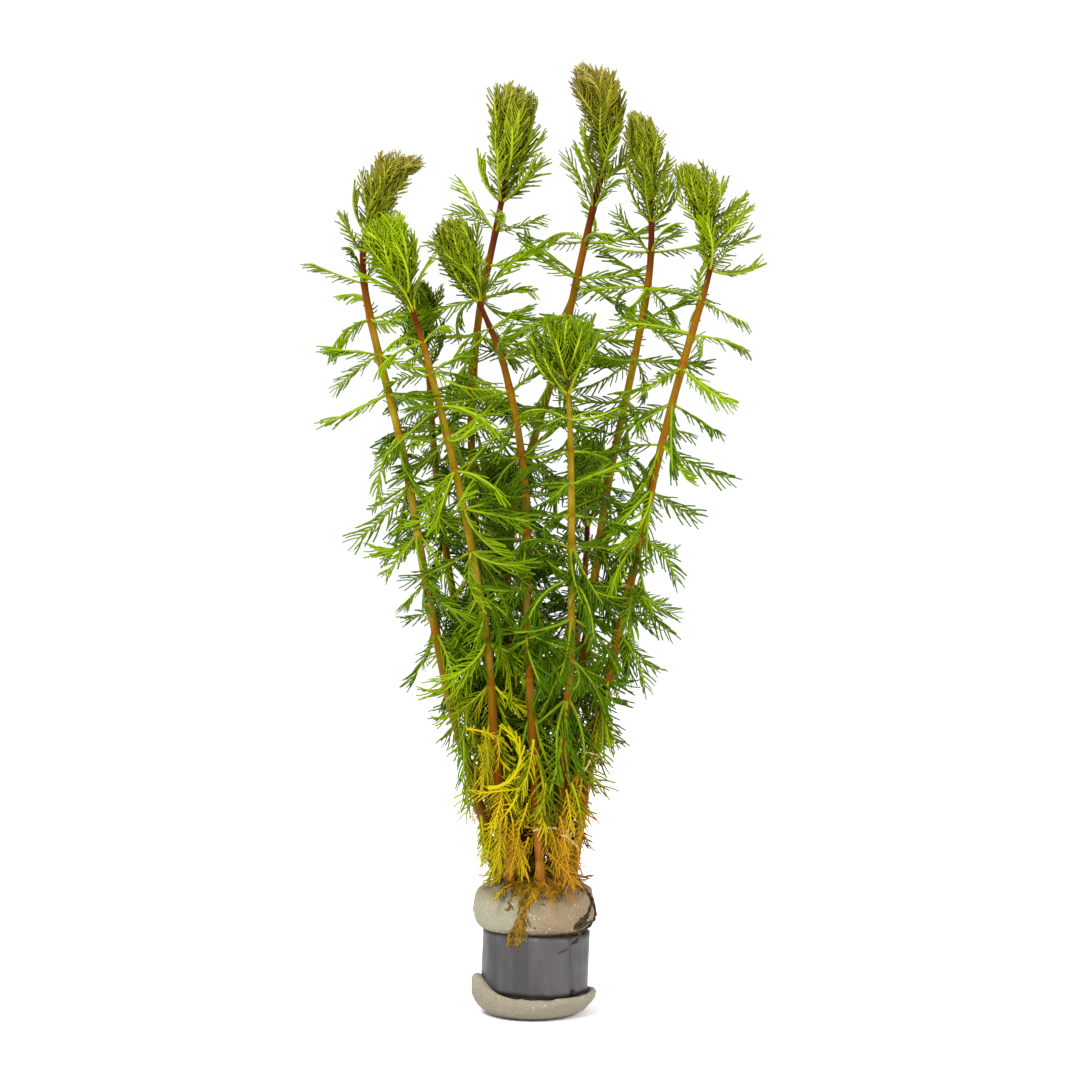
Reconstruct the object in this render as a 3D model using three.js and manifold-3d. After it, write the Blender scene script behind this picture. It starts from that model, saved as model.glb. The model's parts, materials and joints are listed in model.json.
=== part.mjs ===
// Bunch of red milfoil: eleven leafy stems in a foam collar with a soft-metal weight band.
// Millimetres, +Z up. The origin is the centre of the collar's flat bottom.

import * as THREE from 'three';
import { mergeVertices } from 'three/addons/utils/BufferGeometryUtils.js';
import Module from 'manifold-3d';

const wasm = await Module();
wasm.setup();

// Foam collar: a plug with a waist, which the band squeezes, as radius and height pairs from the middle of its
// flat bottom to the middle of its top
const COLLAR_PROFILE = [
	[0, 0], [9.5, 0], [12.4, 1], [13.6, 2.8], [13, 4.2], [10.8, 5], [10.8, 19.9], [12.6, 20.8], [13.8, 23.4],
	[13.3, 26.6], [11.6, 29], [9.8, 30], [0, 30],
];
const COLLAR_SIDES = 18;

// Weight band: one strip, wound a little more than once round the waist
const BAND_BOTTOM = 5.7;
const BAND_HEIGHT = 13.5;
const BAND_THICKNESS = 0.6;
const BAND_INNER_RADIUS = 11.2;
const BAND_PITCH = 0.95;
const BAND_LAP_ANGLE = 0.6;
const BAND_START_ANGLE = -1.52;
const BAND_TILT = 0.045;
const BAND_STEPS = 26;

// Stems
const STEM_FOOT_HEIGHT = 4.3;
const STEM_FOOT_GATHER = 0.8;
const STEM_SIDES = 5;
const CURVE_TENSION = 0.5;
const STEM_TIP_RADIUS = 0.45;
const CROWN_OVERREACH = 6.5;
const STEM_CROWN_GROWTH = 0.42;
const STEM_BASE_GROWTH = 0.28;
const HOLE_MARGIN = 0.45;
const HOLE_DEPTH_MARGIN = 0.35;
const HOLE_POINT_HEIGHT = 1;

// Leaf whorls: close in the crown, then further and further apart
const FIRST_WHORL = 1.5;
const TIP_CLEAR = 2;
const CROWN_GAP = 1.7;
const OPEN_GAP = 6.3;
const LATE_GAP = 3.2;
const LOW_GAP_SHARE = 0.72;
const LOWEST_WHORL = 47;
const CROWN_END = 20;
const CROWN_WHORLS_APART = 3;
const WHORL_TURN = 0.63;
const STEM_TURN = 1.7;
const NODE_HALF_HEIGHT = 0.6;

// Shares of the leaves that are missing, which is most in front where the stems show
const MISSING_LEAVES = 0.08;
const BARED_FRONT = 0.3;
const BARED_FOOT = 0.75;
const FRONT_STEMS = 2;

// Leaves: their lengths, and their angles to the stem in degrees
const YOUNG_LEAF = 7.8;
const CROWN_LEAF = 12.7;
const FULL_LEAF = 15.5;
const FOOT_LEAF_SHARE = 0.62;
const SHORTEST_SHARE = 0.9;
const LENGTH_SPREAD = 0.2;
const LEAF_ROOT_DEPTH = 0.6;
const LEAF_WIDTH_SHARE = 0.38;
const LEAF_KEEL_SHARE = 0.05;
const LEAF_BEND_PLACE = 0.5;
const TIP_ANGLE = 15;
const CROWN_ANGLE = 6;
const LEVEL_ANGLE = 92;
const SINKING_ANGLE = 22;
const LIMP_ANGLE = 30;
const LIMP_LEAVES = 0.4;
const HANGING_ANGLE = 38;
const FOOT_ANGLE = 6;
const CROWN_CURL = -8;
const OPEN_DROOP = 28;
const HANGING_DROOP = -8;
const CROWN_JITTER = 12;
const OPEN_JITTER = 40;
const HANGING_STILLNESS = 0.6;
const CROWN_TWIST = 50;
const OPEN_TWIST = 120;
const LEAST_OPEN_TWIST = 26;
const CLEARANCE = 0.3;
const CLEAR_ENOUGH = 0.99;
const SHORTER_LEAVES = [1, 0.85, 0.7, 0.55];
const TURNED_LEAVES = [0, -14, 14];

// Where along the stem each change happens, in millimetres from its tip
const GAPS_WIDEN = [35, 70];
const LEAVES_GROW = [18, 38];
const LEAVES_SINK = [34, 90];
const LEAVES_GO_LIMP = [30, 50];
const LEAVES_TWIST = [22, 32];
const STEM_THICKENS = [0, 40];
const STEM_BASE_THICKENS = [60, 150];

// The same for a crown of the usual length; a shorter crown changes sooner
const GAPS_OPEN = [4, 24];
const CROWN_LEAVES_GROW = [0, 9];
const CROWN_SPREADS = [2, 12];
const CROWN_OPENS = [0, 9];
const CROWN_LOOSENS = [3, 9];
const LEAVES_LEVEL = [20, 28];
const LEAVES_LOOSEN = [22, 32];
const LEAVES_DROOP = [18, 44];

// At which heights over the floor each change happens
const GAPS_LOW = [60, 100];
const LEAVES_SHORT = [40, 74];
const LEAVES_HANG = [77, 87];
const LEAVES_FOOT = [48, 66];
const BARED_ABOVE_FOOT = [46, 58];
const BARED_BELOW = [74, 102];
const FACES_FRONT = [0, 0.6];

// How far the foliage reaches at each height: height, left edge and right edge. A leaf that would pass an
// edge hangs lower, the low ones almost straight down, and is shortened if it still passes it.
const FOLIAGE_EDGES = [
	[30, -11.8, 11.2], [42, -13, 11.4], [48, -13.8, 13], [52, -15.8, 14.6], [60, -18.2, 18.4], [71, -20.6, 21.4],
	[76, -29.5, 29], [88, -32.5, 33.5], [102, -38.5, 37], [120, -41.5, 41.5], [141, -47, 48], [167, -51.5, 54],
	[220, -56, 56],
];
// A hollow left where leaves have gone from the front of the bunch: its middle, radius and how far back it starts
const HOLLOW = { x: -6.5, z: 60, radius: 6.8, front: -9 };
const HANG_STEP = 6;
const LOW_HANG = 166;
const HIGH_HANG = 112;
const HANG_EASES = [70, 100];
const TRIM_STEP = 0.5;
const SHORTEST_LEAF = 5.5;

// Channels of the scatter that each choice reads
const LENGTH_CHANNEL = 0;
const JITTER_CHANNEL = 9;
const MISSING_CHANNEL = 21;
const TWIST_CHANNEL = 81;
const LIMP_CHANNEL = 111;

// Dead leaf scrap: its inner side over the collar and band as radius and height pairs
const SCRAP_LINE = [
	[12.9, 18.6], [13.2, 19.4], [14.2, 22], [14.4, 24], [13.9, 26.4], [12.7, 28.8], [11.2, 30.4],
];
const SCRAP_THICKNESS = 0.45;
const SCRAP_WIDTH = 4.2;
const SCRAP_BEARING = -1.83;

// Dark strand
const STRAND_LINE = [
	[9.4, -8.4, 30.6], [12.3, -7.4, 28.3], [13.3, -6.8, 25], [13.2, -6.8, 21.5], [11.4, -8.6, 18.6],
	[8.6, -10.9, 17.2], [5.4, -12.6, 15.6],
];
const STRAND_RADIUS = 0.35;
const STRAND_STEPS = 9;
const STRAND_CURVE_SEGMENTS = 3;

const DEGREE = Math.PI / 180;

// Each stem's line from where it leaves the collar to the top of its crown, chosen by hand. crown is the length
// of its crown against the usual one, plump the size of its crown's leaves, open the angle by which its crown
// stands open, and loose the angle by which the crown's right side does.
const STEMS = [
	{
		name: 'stem_far_left',
		colour: 0x76852b,
		crown: 1.22,
		plump: 0.78,
		line: [
			[-8.5, -1, 31.5], [-15, -1.5, 56], [-19.5, -2, 72], [-25, -3, 99.5], [-30, -4, 128],
			[-37.5, -5, 159], [-39.2, -5.5, 172.5], [-37.8, -5.5, 181], [-34.6, -5.5, 188.2],
			[-30, -5.5, 192.4], [-23.6, -5, 193.8],
		],
	},
	{
		name: 'stem_left',
		colour: 0x86b023,
		crown: 0.6,
		line: [
			[-5.5, -6, 31.5], [-8.8, -7.5, 58.5], [-10.6, -9, 83.5], [-14.6, -11, 108.5], [-20, -13, 133],
			[-25.5, -14.5, 154], [-30.2, -15.5, 168], [-34.2, -16, 178.4],
		],
	},
	{
		name: 'stem_inner_left',
		colour: 0x3f6a25,
		crown: 0.62,
		plump: 0.75,
		line: [
			[-6.5, 4.5, 31.5], [-11.5, 6.5, 57.5], [-16.5, 8.5, 83], [-20.5, 10, 103.5], [-23.5, 12, 127],
			[-25, 12, 146], [-27.6, 12, 169],
		],
	},
	{
		name: 'stem_front_centre',
		colour: 0x4f7f22,
		crown: 0.68,
		plump: 0.76,
		line: [
			[1.4, -8, 31.5], [0, -8.5, 56], [-1.6, -8, 86], [-1.7, -7.5, 104], [-2.7, -7, 125.5],
			[-7, -7, 148], [-13, -7, 163.5], [-19.8, -7, 181.2],
		],
	},
	{
		name: 'stem_tall_left',
		colour: 0x9a9a3c,
		crown: 1.06,
		line: [
			[-2.8, -0.8, 31.5], [-8, 1.5, 62.5], [-12.8, 4, 94.5], [-14.7, 7, 127], [-14.6, 8, 143],
			[-12.9, 9, 162.5], [-9, 9, 182], [-6.3, 9, 197], [-5.3, 8, 214.4],
		],
	},
	{
		name: 'stem_tall_brown',
		colour: 0x8a6a32,
		crown: 1.28,
		plump: 0.8,
		line: [
			[-0.5, 3.6, 31.5], [-5.4, 5.5, 62], [-6.8, 8, 92], [-5, 11, 114.5], [0, 12, 133],
			[6, 12, 153.5], [11.2, 11.3, 176], [14, 10.8, 188], [16.2, 10.4, 198], [15.2, 10.2, 209],
			[10, 10, 220.4],
		],
	},
	{
		name: 'stem_short_front',
		colour: 0x7fae25,
		crown: 0.42,
		plump: 0.84,
		open: 12,
		line: [
			[6, -5.5, 31.5], [6.3, -8, 58.5], [8, -11, 81.5], [8.2, -13, 100], [8, -15, 129],
			[7.2, -16, 144], [6.4, -16, 157],
		],
	},
	{
		name: 'stem_right',
		colour: 0x8f9436,
		crown: 1.12,
		plump: 0.7,
		line: [
			[3.7, 0.6, 31.5], [7.1, 1, 58], [11.5, 2, 83], [16.5, 3.5, 119], [22.5, 4, 148],
			[26.2, 4, 168], [27, 4, 182], [26.3, 4, 193], [24.6, 4, 202], [20.5, 4, 208],
		],
	},
	{
		name: 'stem_far_right',
		colour: 0x6f9427,
		crown: 1,
		plump: 0.82,
		loose: 60,
		line: [
			[8.7, 0, 31.5], [12.6, -2, 58], [18.3, -3.5, 83.5], [23, -5, 104], [28.5, -6.5, 129],
			[34, -8, 150], [38.7, -8, 166], [40, -8, 174], [38.6, -8, 182.5], [36, -8, 188.5],
			[32, -8, 194.4],
		],
	},
	{
		name: 'stem_back_right',
		colour: 0x3c6524,
		crown: 0.8,
		line: [
			[4.5, 7, 31.5], [5.2, 12, 57], [8.3, 16, 75.5], [11.1, 19, 94], [12.4, 21, 110],
			[12.6, 22, 132],
		],
	},
	{
		name: 'stem_back_short',
		colour: 0x35591f,
		crown: 0.7,
		line: [
			[-1.5, 8.3, 31.5], [-2.6, 12, 57], [-4.8, 15, 75.5], [-6.4, 17, 94], [-7.7, 19, 113],
			[-8.4, 20, 127],
		],
	},
];

function smoothstep(low, high, value) {
	const t = Math.min(Math.max((value - low) / (high - low), 0), 1);
	return t * t * (3 - 2 * t);
}

// A repeatable scatter between 0 and 1
function scatter(i, j) {
	const wave = Math.sin(i * 127.1 + j * 311.7) * 43758.5453;
	return wave - Math.floor(wave);
}

function blend(a, b, share) {
	return a + (b - a) * share;
}

function crownAge(stem, fromTip) {
	return fromTip / (stem.crown ?? 1);
}

function stemRadius(fromTip) {
	return STEM_TIP_RADIUS + STEM_CROWN_GROWTH * smoothstep(...STEM_THICKENS, fromTip)
		+ STEM_BASE_GROWTH * smoothstep(...STEM_BASE_THICKENS, fromTip);
}

function internode(stem, fromTip, height) {
	const wider = OPEN_GAP * smoothstep(...GAPS_OPEN, crownAge(stem, fromTip))
		+ LATE_GAP * smoothstep(...GAPS_WIDEN, fromTip);
	return CROWN_GAP * (stem.crown ?? 1) + wider * blend(LOW_GAP_SHARE, 1, smoothstep(...GAPS_LOW, height));
}

function leafLength(stem, fromTip, height) {
	const inCrown = blend(YOUNG_LEAF, CROWN_LEAF, smoothstep(...CROWN_LEAVES_GROW, crownAge(stem, fromTip)));
	const grown = blend(inCrown * (stem.plump ?? 1), FULL_LEAF, smoothstep(...LEAVES_GROW, fromTip));
	return grown * blend(FOOT_LEAF_SHARE, 1, smoothstep(...LEAVES_SHORT, height));
}

function hanging(height) {
	return 1 - smoothstep(...LEAVES_HANG, height);
}

// Angle between a leaf's inner half and its stem: erect in the crown, then level, hanging near the collar
function leafSpread(stem, fromTip, height, isLimp) {
	const young = crownAge(stem, fromTip);
	const inCrown = TIP_ANGLE + CROWN_ANGLE * smoothstep(...CROWN_SPREADS, young)
		+ (stem.open ?? 0) * smoothstep(...CROWN_OPENS, young);
	const limp = isLimp ? LIMP_ANGLE * smoothstep(...LEAVES_GO_LIMP, fromTip) * (1 - hanging(height)) : 0;
	return blend(inCrown, LEVEL_ANGLE, smoothstep(...LEAVES_LEVEL, young)) + limp
		+ SINKING_ANGLE * smoothstep(...LEAVES_SINK, fromTip) + HANGING_ANGLE * hanging(height)
		+ FOOT_ANGLE * (1 - smoothstep(...LEAVES_FOOT, height));
}

// Angle by which a leaf's outer half hangs below its inner half
function leafDroop(stem, fromTip, height) {
	return CROWN_CURL + OPEN_DROOP * smoothstep(...LEAVES_DROOP, crownAge(stem, fromTip))
		+ HANGING_DROOP * hanging(height);
}

// A leaf's own departure from the rule, and how far the right side of a loose crown stands open
function leafJitter(stem, whorl, k, outward) {
	const young = crownAge(stem, whorl.fromTip);
	const range = blend(CROWN_JITTER, OPEN_JITTER, smoothstep(...LEAVES_LOOSEN, young))
		* (1 - HANGING_STILLNESS * hanging(whorl.height));
	const looser = (stem.loose ?? 0) * Math.max(0, outward.x) * smoothstep(...CROWN_LOOSENS, young)
		* (1 - smoothstep(...LEAVES_LEVEL, young));
	return range * (scatter(whorl.seed, k + JITTER_CHANNEL) - 0.5) + looser;
}

function leafTwist(fromTip, seed, k) {
	const turned = scatter(seed, k + TWIST_CHANNEL) - 0.5;
	const open = OPEN_TWIST * turned + LEAST_OPEN_TWIST * Math.sign(turned);
	return open * smoothstep(...LEAVES_TWIST, fromTip) + CROWN_TWIST * turned;
}

function isMissing(stem, whorl, k) {
	if (crownAge(stem, whorl.fromTip) < CROWN_END) {
		return false;
	}
	const outward = outwardAt(whorl.station, leafAngle(whorl, k));
	const inFront = whorl.station.point.y < FRONT_STEMS ? smoothstep(...FACES_FRONT, -outward.y) : 0;
	const bared = blend(BARED_FOOT, BARED_FRONT, smoothstep(...BARED_ABOVE_FOOT, whorl.height))
		* (1 - smoothstep(...BARED_BELOW, whorl.height));
	return scatter(whorl.seed, k + MISSING_CHANNEL) <= MISSING_LEAVES + bared * inFront;
}

function isWithinEdges(tip) {
	const above = FOLIAGE_EDGES.findIndex(([height]) => tip.z <= height);
	const row = above === -1 ? FOLIAGE_EDGES.length - 1 : Math.max(above, 1);
	const [low, lowLeft, lowRight] = FOLIAGE_EDGES[row - 1];
	const [high, highLeft, highRight] = FOLIAGE_EDGES[row];
	const share = Math.min(Math.max((tip.z - low) / (high - low), 0), 1);
	return tip.x >= blend(lowLeft, highLeft, share) && tip.x <= blend(lowRight, highRight, share);
}

function isInHollow(point) {
	return point.y < HOLLOW.front && Math.hypot(point.x - HOLLOW.x, point.z - HOLLOW.z) < HOLLOW.radius;
}

// Point and frame on a stem, at a length from its tip; side and back are square to the stem.
// The line given for a stem ends at the top of its crown, where the leaves reach past the stem's own tip.
function stationOf(curve, length, fromTip) {
	const share = (length - fromTip) / (length + CROWN_OVERREACH);
	const point = curve.getPointAt(share);
	const along = curve.getTangentAt(share);
	const side = new THREE.Vector3(0, 1, 0).cross(along).normalize();
	const back = new THREE.Vector3().crossVectors(along, side);
	return { point, along, side, back };
}

function outwardAt(station, angle) {
	return station.side.clone().multiplyScalar(Math.cos(angle)).addScaledVector(station.back, Math.sin(angle));
}

function ringOf(station, radius, turn) {
	const ring = [];
	for (let k = 0; k < STEM_SIDES; k++) {
		const angle = turn + (k / STEM_SIDES) * 2 * Math.PI;
		ring.push(station.point.clone().addScaledVector(outwardAt(station, angle), radius));
	}
	return ring;
}

function leafAngle(whorl, k) {
	return whorl.turn + ((k + 0.5) / STEM_SIDES) * 2 * Math.PI;
}

// The four points of a leaf past its base: two edges, the keel and the tip
function leafPoints(stem, whorl, k, lengthShare, turned) {
	const angle = leafAngle(whorl, k);
	const outward = outwardAt(whorl.station, angle);
	const heading = (degrees) => whorl.station.along.clone().multiplyScalar(Math.cos(degrees * DEGREE))
		.addScaledVector(outward, Math.sin(degrees * DEGREE));
	const isLimp = scatter(whorl.seed, k + LIMP_CHANNEL) < LIMP_LEAVES;
	const natural = whorl.leafLength * (SHORTEST_SHARE + LENGTH_SPREAD * scatter(whorl.seed, k + LENGTH_CHANNEL));
	const root = whorl.station.point.clone().addScaledVector(outward, whorl.radius * LEAF_ROOT_DEPTH);
	const tipAt = (chord, reach) => root.clone().addScaledVector(heading(chord), reach);
	let chord = leafSpread(stem, whorl.fromTip, whorl.height, isLimp) + leafJitter(stem, whorl, k, outward)
		+ whorl.droop / 2;
	const lowest = blend(LOW_HANG, HIGH_HANG, smoothstep(...HANG_EASES, whorl.height));
	while (chord < lowest && !isWithinEdges(tipAt(chord, natural))) {
		chord += HANG_STEP;
	}
	let trimmed = natural;
	while (trimmed > SHORTEST_LEAF && !isWithinEdges(tipAt(chord, trimmed))) {
		trimmed -= TRIM_STEP;
	}
	const length = trimmed * lengthShare;
	const inner = heading(chord + turned - whorl.droop / 2);
	const outer = heading(chord + turned + whorl.droop / 2);
	const middle = root.clone().addScaledVector(inner, length * LEAF_BEND_PLACE);
	const tip = middle.clone().addScaledVector(outer, length * (1 - LEAF_BEND_PLACE));
	const twist = leafTwist(whorl.fromTip, whorl.seed, k) * DEGREE;
	const plain = outwardAt(whorl.station, angle + Math.PI / 2);
	const across = plain.clone().multiplyScalar(Math.cos(twist))
		.addScaledVector(new THREE.Vector3().crossVectors(inner, plain), -Math.sin(twist));
	const up = new THREE.Vector3().crossVectors(inner, across);
	const halfWidth = length * LEAF_WIDTH_SHARE / 2;
	return {
		left: middle.clone().addScaledVector(across, -halfWidth),
		right: middle.clone().addScaledVector(across, halfWidth),
		keel: middle.clone().addScaledVector(up, length * LEAF_KEEL_SHARE),
		tip,
	};
}

// Faces of a leaf pulled out of one side of the stem, whose corners are given round that side
function leafFaces(corner, left, right, keel, tip) {
	const [lowLeft, lowRight, highRight, highLeft] = corner;
	return [
		[lowLeft, lowRight, right], [lowLeft, right, left], [lowRight, highRight, right],
		[highRight, highLeft, keel], [highLeft, lowLeft, left], [highRight, keel, right],
		[keel, highLeft, left], [left, right, tip], [right, keel, tip], [keel, left, tip],
	];
}

function solidOf(points, faces) {
	const vertProperties = new Float32Array(points.flatMap((p) => [p.x, p.y, p.z]));
	const triVerts = new Uint32Array(faces.flat());
	return new wasm.Manifold(new wasm.Mesh({ numProp: 3, vertProperties, triVerts }));
}

function solidOfGeometry(geometry) {
	const bare = geometry.clone();
	bare.deleteAttribute('normal');
	bare.deleteAttribute('uv');
	const merged = mergeVertices(bare, 0.0001);
	return new wasm.Manifold(new wasm.Mesh({
		numProp: 3,
		vertProperties: new Float32Array(merged.attributes.position.array),
		triVerts: new Uint32Array(merged.index.array),
	}));
}

function geometryOf(points, faces) {
	const geometry = new THREE.BufferGeometry();
	geometry.setAttribute('position', new THREE.Float32BufferAttribute(points.flatMap((p) => [p.x, p.y, p.z]), 3));
	geometry.setIndex(faces.flat());
	geometry.computeVertexNormals();
	return geometry;
}

function geometryOfSolid(solid) {
	const mesh = solid.getMesh();
	const geometry = new THREE.BufferGeometry();
	geometry.setAttribute('position', new THREE.BufferAttribute(new Float32Array(mesh.vertProperties), 3));
	geometry.setIndex(new THREE.BufferAttribute(new Uint32Array(mesh.triVerts), 1));
	geometry.computeVertexNormals();
	return geometry;
}

// Rings joined into a closed tube; faceOf may put its own faces in place of one side of one stretch
function tubeOf(rings, topPoint, faceOf) {
	const points = rings.flat();
	const faces = [];
	for (let k = 1; k < STEM_SIDES - 1; k++) {
		faces.push([0, k + 1, k]);
	}
	for (let row = 0; row + 1 < rings.length; row++) {
		for (let k = 0; k < STEM_SIDES; k++) {
			const next = (k + 1) % STEM_SIDES;
			const low = row * STEM_SIDES;
			const high = low + STEM_SIDES;
			const corner = [low + k, low + next, high + next, high + k];
			const own = faceOf ? faceOf(row, k, corner, points) : null;
			faces.push(...(own ?? [[corner[0], corner[1], corner[2]], [corner[0], corner[2], corner[3]]]));
		}
	}
	const last = (rings.length - 1) * STEM_SIDES;
	const top = points.push(topPoint) - 1;
	for (let k = 0; k < STEM_SIDES; k++) {
		faces.push([last + k, last + ((k + 1) % STEM_SIDES), top]);
	}
	return { points, faces };
}

// Distances from the tip of the whorls kept on the solid: one in three of the crown's, and all below it
function whorlPlaces(stem, curve, length) {
	const places = [];
	let fromTip = FIRST_WHORL;
	for (let index = 0; fromTip < length - TIP_CLEAR; index++) {
		const height = stationOf(curve, length, fromTip).point.z;
		if (height < LOWEST_WHORL) {
			break;
		}
		if (crownAge(stem, fromTip) >= CROWN_END || index % CROWN_WHORLS_APART === 1) {
			places.push({ index, fromTip, height });
		}
		fromTip += internode(stem, fromTip, height);
	}
	return places;
}

function planStem(stem, number) {
	const points = stem.line.map((p) => new THREE.Vector3(...p));
	const curve = new THREE.CatmullRomCurve3(points, false, 'catmullrom', CURVE_TENSION);
	const length = curve.getLength() - CROWN_OVERREACH;
	const exit = curve.getPointAt(0);
	const foot = new THREE.Vector3(exit.x * STEM_FOOT_GATHER, exit.y * STEM_FOOT_GATHER, STEM_FOOT_HEIGHT);
	const whorls = whorlPlaces(stem, curve, length).map(({ index, fromTip, height }) => ({
		seed: number * 100 + index,
		fromTip,
		height,
		station: stationOf(curve, length, fromTip),
		radius: stemRadius(fromTip),
		turn: index * WHORL_TURN + number * STEM_TURN,
		leafLength: leafLength(stem, fromTip, height),
		droop: leafDroop(stem, fromTip, height),
		leaves: new Array(STEM_SIDES).fill(null),
	}));
	return { ...stem, number, curve, length, foot, exit, whorls };
}

// The stem's rings from its foot to its tip, with two at each whorl
function stemRings(stem) {
	const upright = { point: stem.foot, side: new THREE.Vector3(1, 0, 0), back: new THREE.Vector3(0, 1, 0) };
	const exitStation = { ...upright, point: stem.exit };
	const lowest = stem.whorls.at(-1);
	const rings = [ringOf(upright, stemRadius(stem.length), lowest.turn)];
	rings.push(ringOf(exitStation, stemRadius(stem.length), lowest.turn));
	for (const whorl of [...stem.whorls].reverse()) {
		for (const step of [NODE_HALF_HEIGHT, -NODE_HALF_HEIGHT]) {
			const station = stationOf(stem.curve, stem.length, whorl.fromTip + step);
			rings.push(ringOf(station, whorl.radius, whorl.turn));
		}
	}
	return rings;
}

function bareStem(stem) {
	return tubeOf(stemRings(stem), stationOf(stem.curve, stem.length, 0).point);
}

function leafyStem(stem) {
	const upwards = [...stem.whorls].reverse();
	const apex = stationOf(stem.curve, stem.length, 0).point;
	return tubeOf(stemRings(stem), apex, (row, k, corner, points) => {
		const whorl = row >= 2 && row % 2 === 0 ? upwards[(row - 2) / 2] : null;
		const leaf = whorl?.leaves[k];
		if (!leaf) {
			return null;
		}
		const first = points.push(leaf.left, leaf.right, leaf.keel, leaf.tip) - 4;
		return leafFaces(corner, first, first + 1, first + 2, first + 3);
	});
}

function withBox(solid, owner, whorl) {
	return { solid, box: solid.boundingBox(), owner, whorl };
}

function boxesNear(a, b) {
	return [0, 1, 2].every((i) => a.min[i] - CLEARANCE < b.max[i] && b.min[i] - CLEARANCE < a.max[i]);
}

function isClear(candidate, others) {
	return others.every((other) => !boxesNear(candidate.box, other.box)
		|| candidate.solid.minGap(other.solid, CLEARANCE) >= CLEARANCE * CLEAR_ENOUGH);
}

// A leaf as a solid of its own, closed at its base
function leafSolid(stem, whorl, k, leaf) {
	const base = [NODE_HALF_HEIGHT, -NODE_HALF_HEIGHT].map((step) => ringOf(
		stationOf(stem.curve, stem.length, whorl.fromTip + step), whorl.radius, whorl.turn));
	const next = (k + 1) % STEM_SIDES;
	const corners = [base[0][k], base[0][next], base[1][next], base[1][k]];
	const faces = [...leafFaces([0, 1, 2, 3], 4, 5, 6, 7), [2, 1, 0], [3, 2, 0]];
	return solidOf([...corners, leaf.left, leaf.right, leaf.keel, leaf.tip], faces);
}

function leafBlade(leaf) {
	return solidOf([leaf.left, leaf.right, leaf.keel, leaf.tip], [[0, 1, 3], [1, 2, 3], [2, 0, 3], [1, 0, 2]]);
}

// Leaves are set from the crowns down; one that would touch a neighbour is shorter, turned or left out
function setLeaves(stems, fixed) {
	const tubes = stems.map((stem) => {
		const { points, faces } = bareStem(stem);
		return withBox(solidOf(points, faces), stem);
	});
	const placed = [];
	const rounds = Math.max(...stems.map((stem) => stem.whorls.length));
	for (let round = 0; round < rounds; round++) {
		for (const stem of stems.filter((s) => s.whorls[round])) {
			const whorl = stem.whorls[round];
			for (let k = 0; k < STEM_SIDES; k++) {
				if (!isMissing(stem, whorl, k)) {
					setLeaf(stem, whorl, k, placed, tubes, fixed);
				}
			}
		}
	}
}

function setLeaf(stem, whorl, k, placed, tubes, fixed) {
	const near = [...tubes, ...placed];
	const strangers = [...fixed, ...near.filter((other) => other.owner !== stem)];
	const kin = near.filter((other) => other.owner === stem && other.whorl !== whorl);
	for (const share of SHORTER_LEAVES) {
		for (const turned of TURNED_LEAVES) {
			const leaf = leafPoints(stem, whorl, k, share, turned);
			if (isInHollow(leaf.keel) || isInHollow(leaf.tip)) {
				return;
			}
			const whole = withBox(leafSolid(stem, whorl, k, leaf), stem, whorl);
			const blade = withBox(leafBlade(leaf), stem, whorl);
			if (isClear(whole, strangers) && isClear(blade, kin)) {
				whorl.leaves[k] = leaf;
				placed.push(whole);
				return;
			}
		}
	}
}

function collarProfile() {
	return COLLAR_PROFILE.map(([radius, z]) => new THREE.Vector2(radius, z));
}

// The holes that the stems pass into, a little wider than the stems
function stemHole(stem) {
	const radius = stemRadius(stem.length) + HOLE_MARGIN;
	const side = new THREE.Vector3(1, 0, 0);
	const back = new THREE.Vector3(0, 1, 0);
	const turn = stem.whorls.at(-1).turn;
	const bottom = stem.foot.clone();
	bottom.z -= HOLE_DEPTH_MARGIN;
	const rings = [bottom, stem.exit].map((point) => ringOf({ point, side, back }, radius, turn));
	const above = stem.exit.clone();
	above.z += HOLE_POINT_HEIGHT;
	const { points, faces } = tubeOf(rings, above);
	return solidOf(points, faces);
}

function collarSolid(stems) {
	const lathe = new THREE.LatheGeometry(collarProfile(), COLLAR_SIDES);
	lathe.rotateX(Math.PI / 2);
	let solid = solidOfGeometry(lathe);
	for (const stem of stems) {
		solid = solid.subtract(stemHole(stem));
	}
	return solid;
}

function bandGeometry() {
	const shape = new THREE.Shape();
	const sweep = 2 * Math.PI + BAND_LAP_ANGLE;
	const edge = (step, offset) => {
		const turned = (step / BAND_STEPS) * sweep;
		const radius = BAND_INNER_RADIUS + offset + (BAND_PITCH * turned) / (2 * Math.PI);
		const angle = BAND_START_ANGLE + turned;
		return [radius * Math.cos(angle), radius * Math.sin(angle)];
	};
	shape.moveTo(...edge(0, BAND_THICKNESS));
	for (let step = 1; step <= BAND_STEPS; step++) {
		shape.lineTo(...edge(step, BAND_THICKNESS));
	}
	for (let step = BAND_STEPS; step >= 0; step--) {
		shape.lineTo(...edge(step, 0));
	}
	return new THREE.ExtrudeGeometry(shape, { depth: BAND_HEIGHT, bevelEnabled: false });
}

// A dead shred of leaf bent over the collar's upper bulge and the band
function scrapGeometry() {
	const shape = new THREE.Shape();
	shape.moveTo(...SCRAP_LINE[0]);
	SCRAP_LINE.slice(1).forEach(([radius, z]) => shape.lineTo(radius, z));
	[...SCRAP_LINE].reverse().forEach(([radius, z]) => shape.lineTo(radius + SCRAP_THICKNESS, z));
	const geometry = new THREE.ExtrudeGeometry(shape, { depth: SCRAP_WIDTH, bevelEnabled: false });
	geometry.translate(0, 0, -SCRAP_WIDTH / 2);
	geometry.rotateX(Math.PI / 2);
	return geometry;
}

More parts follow.
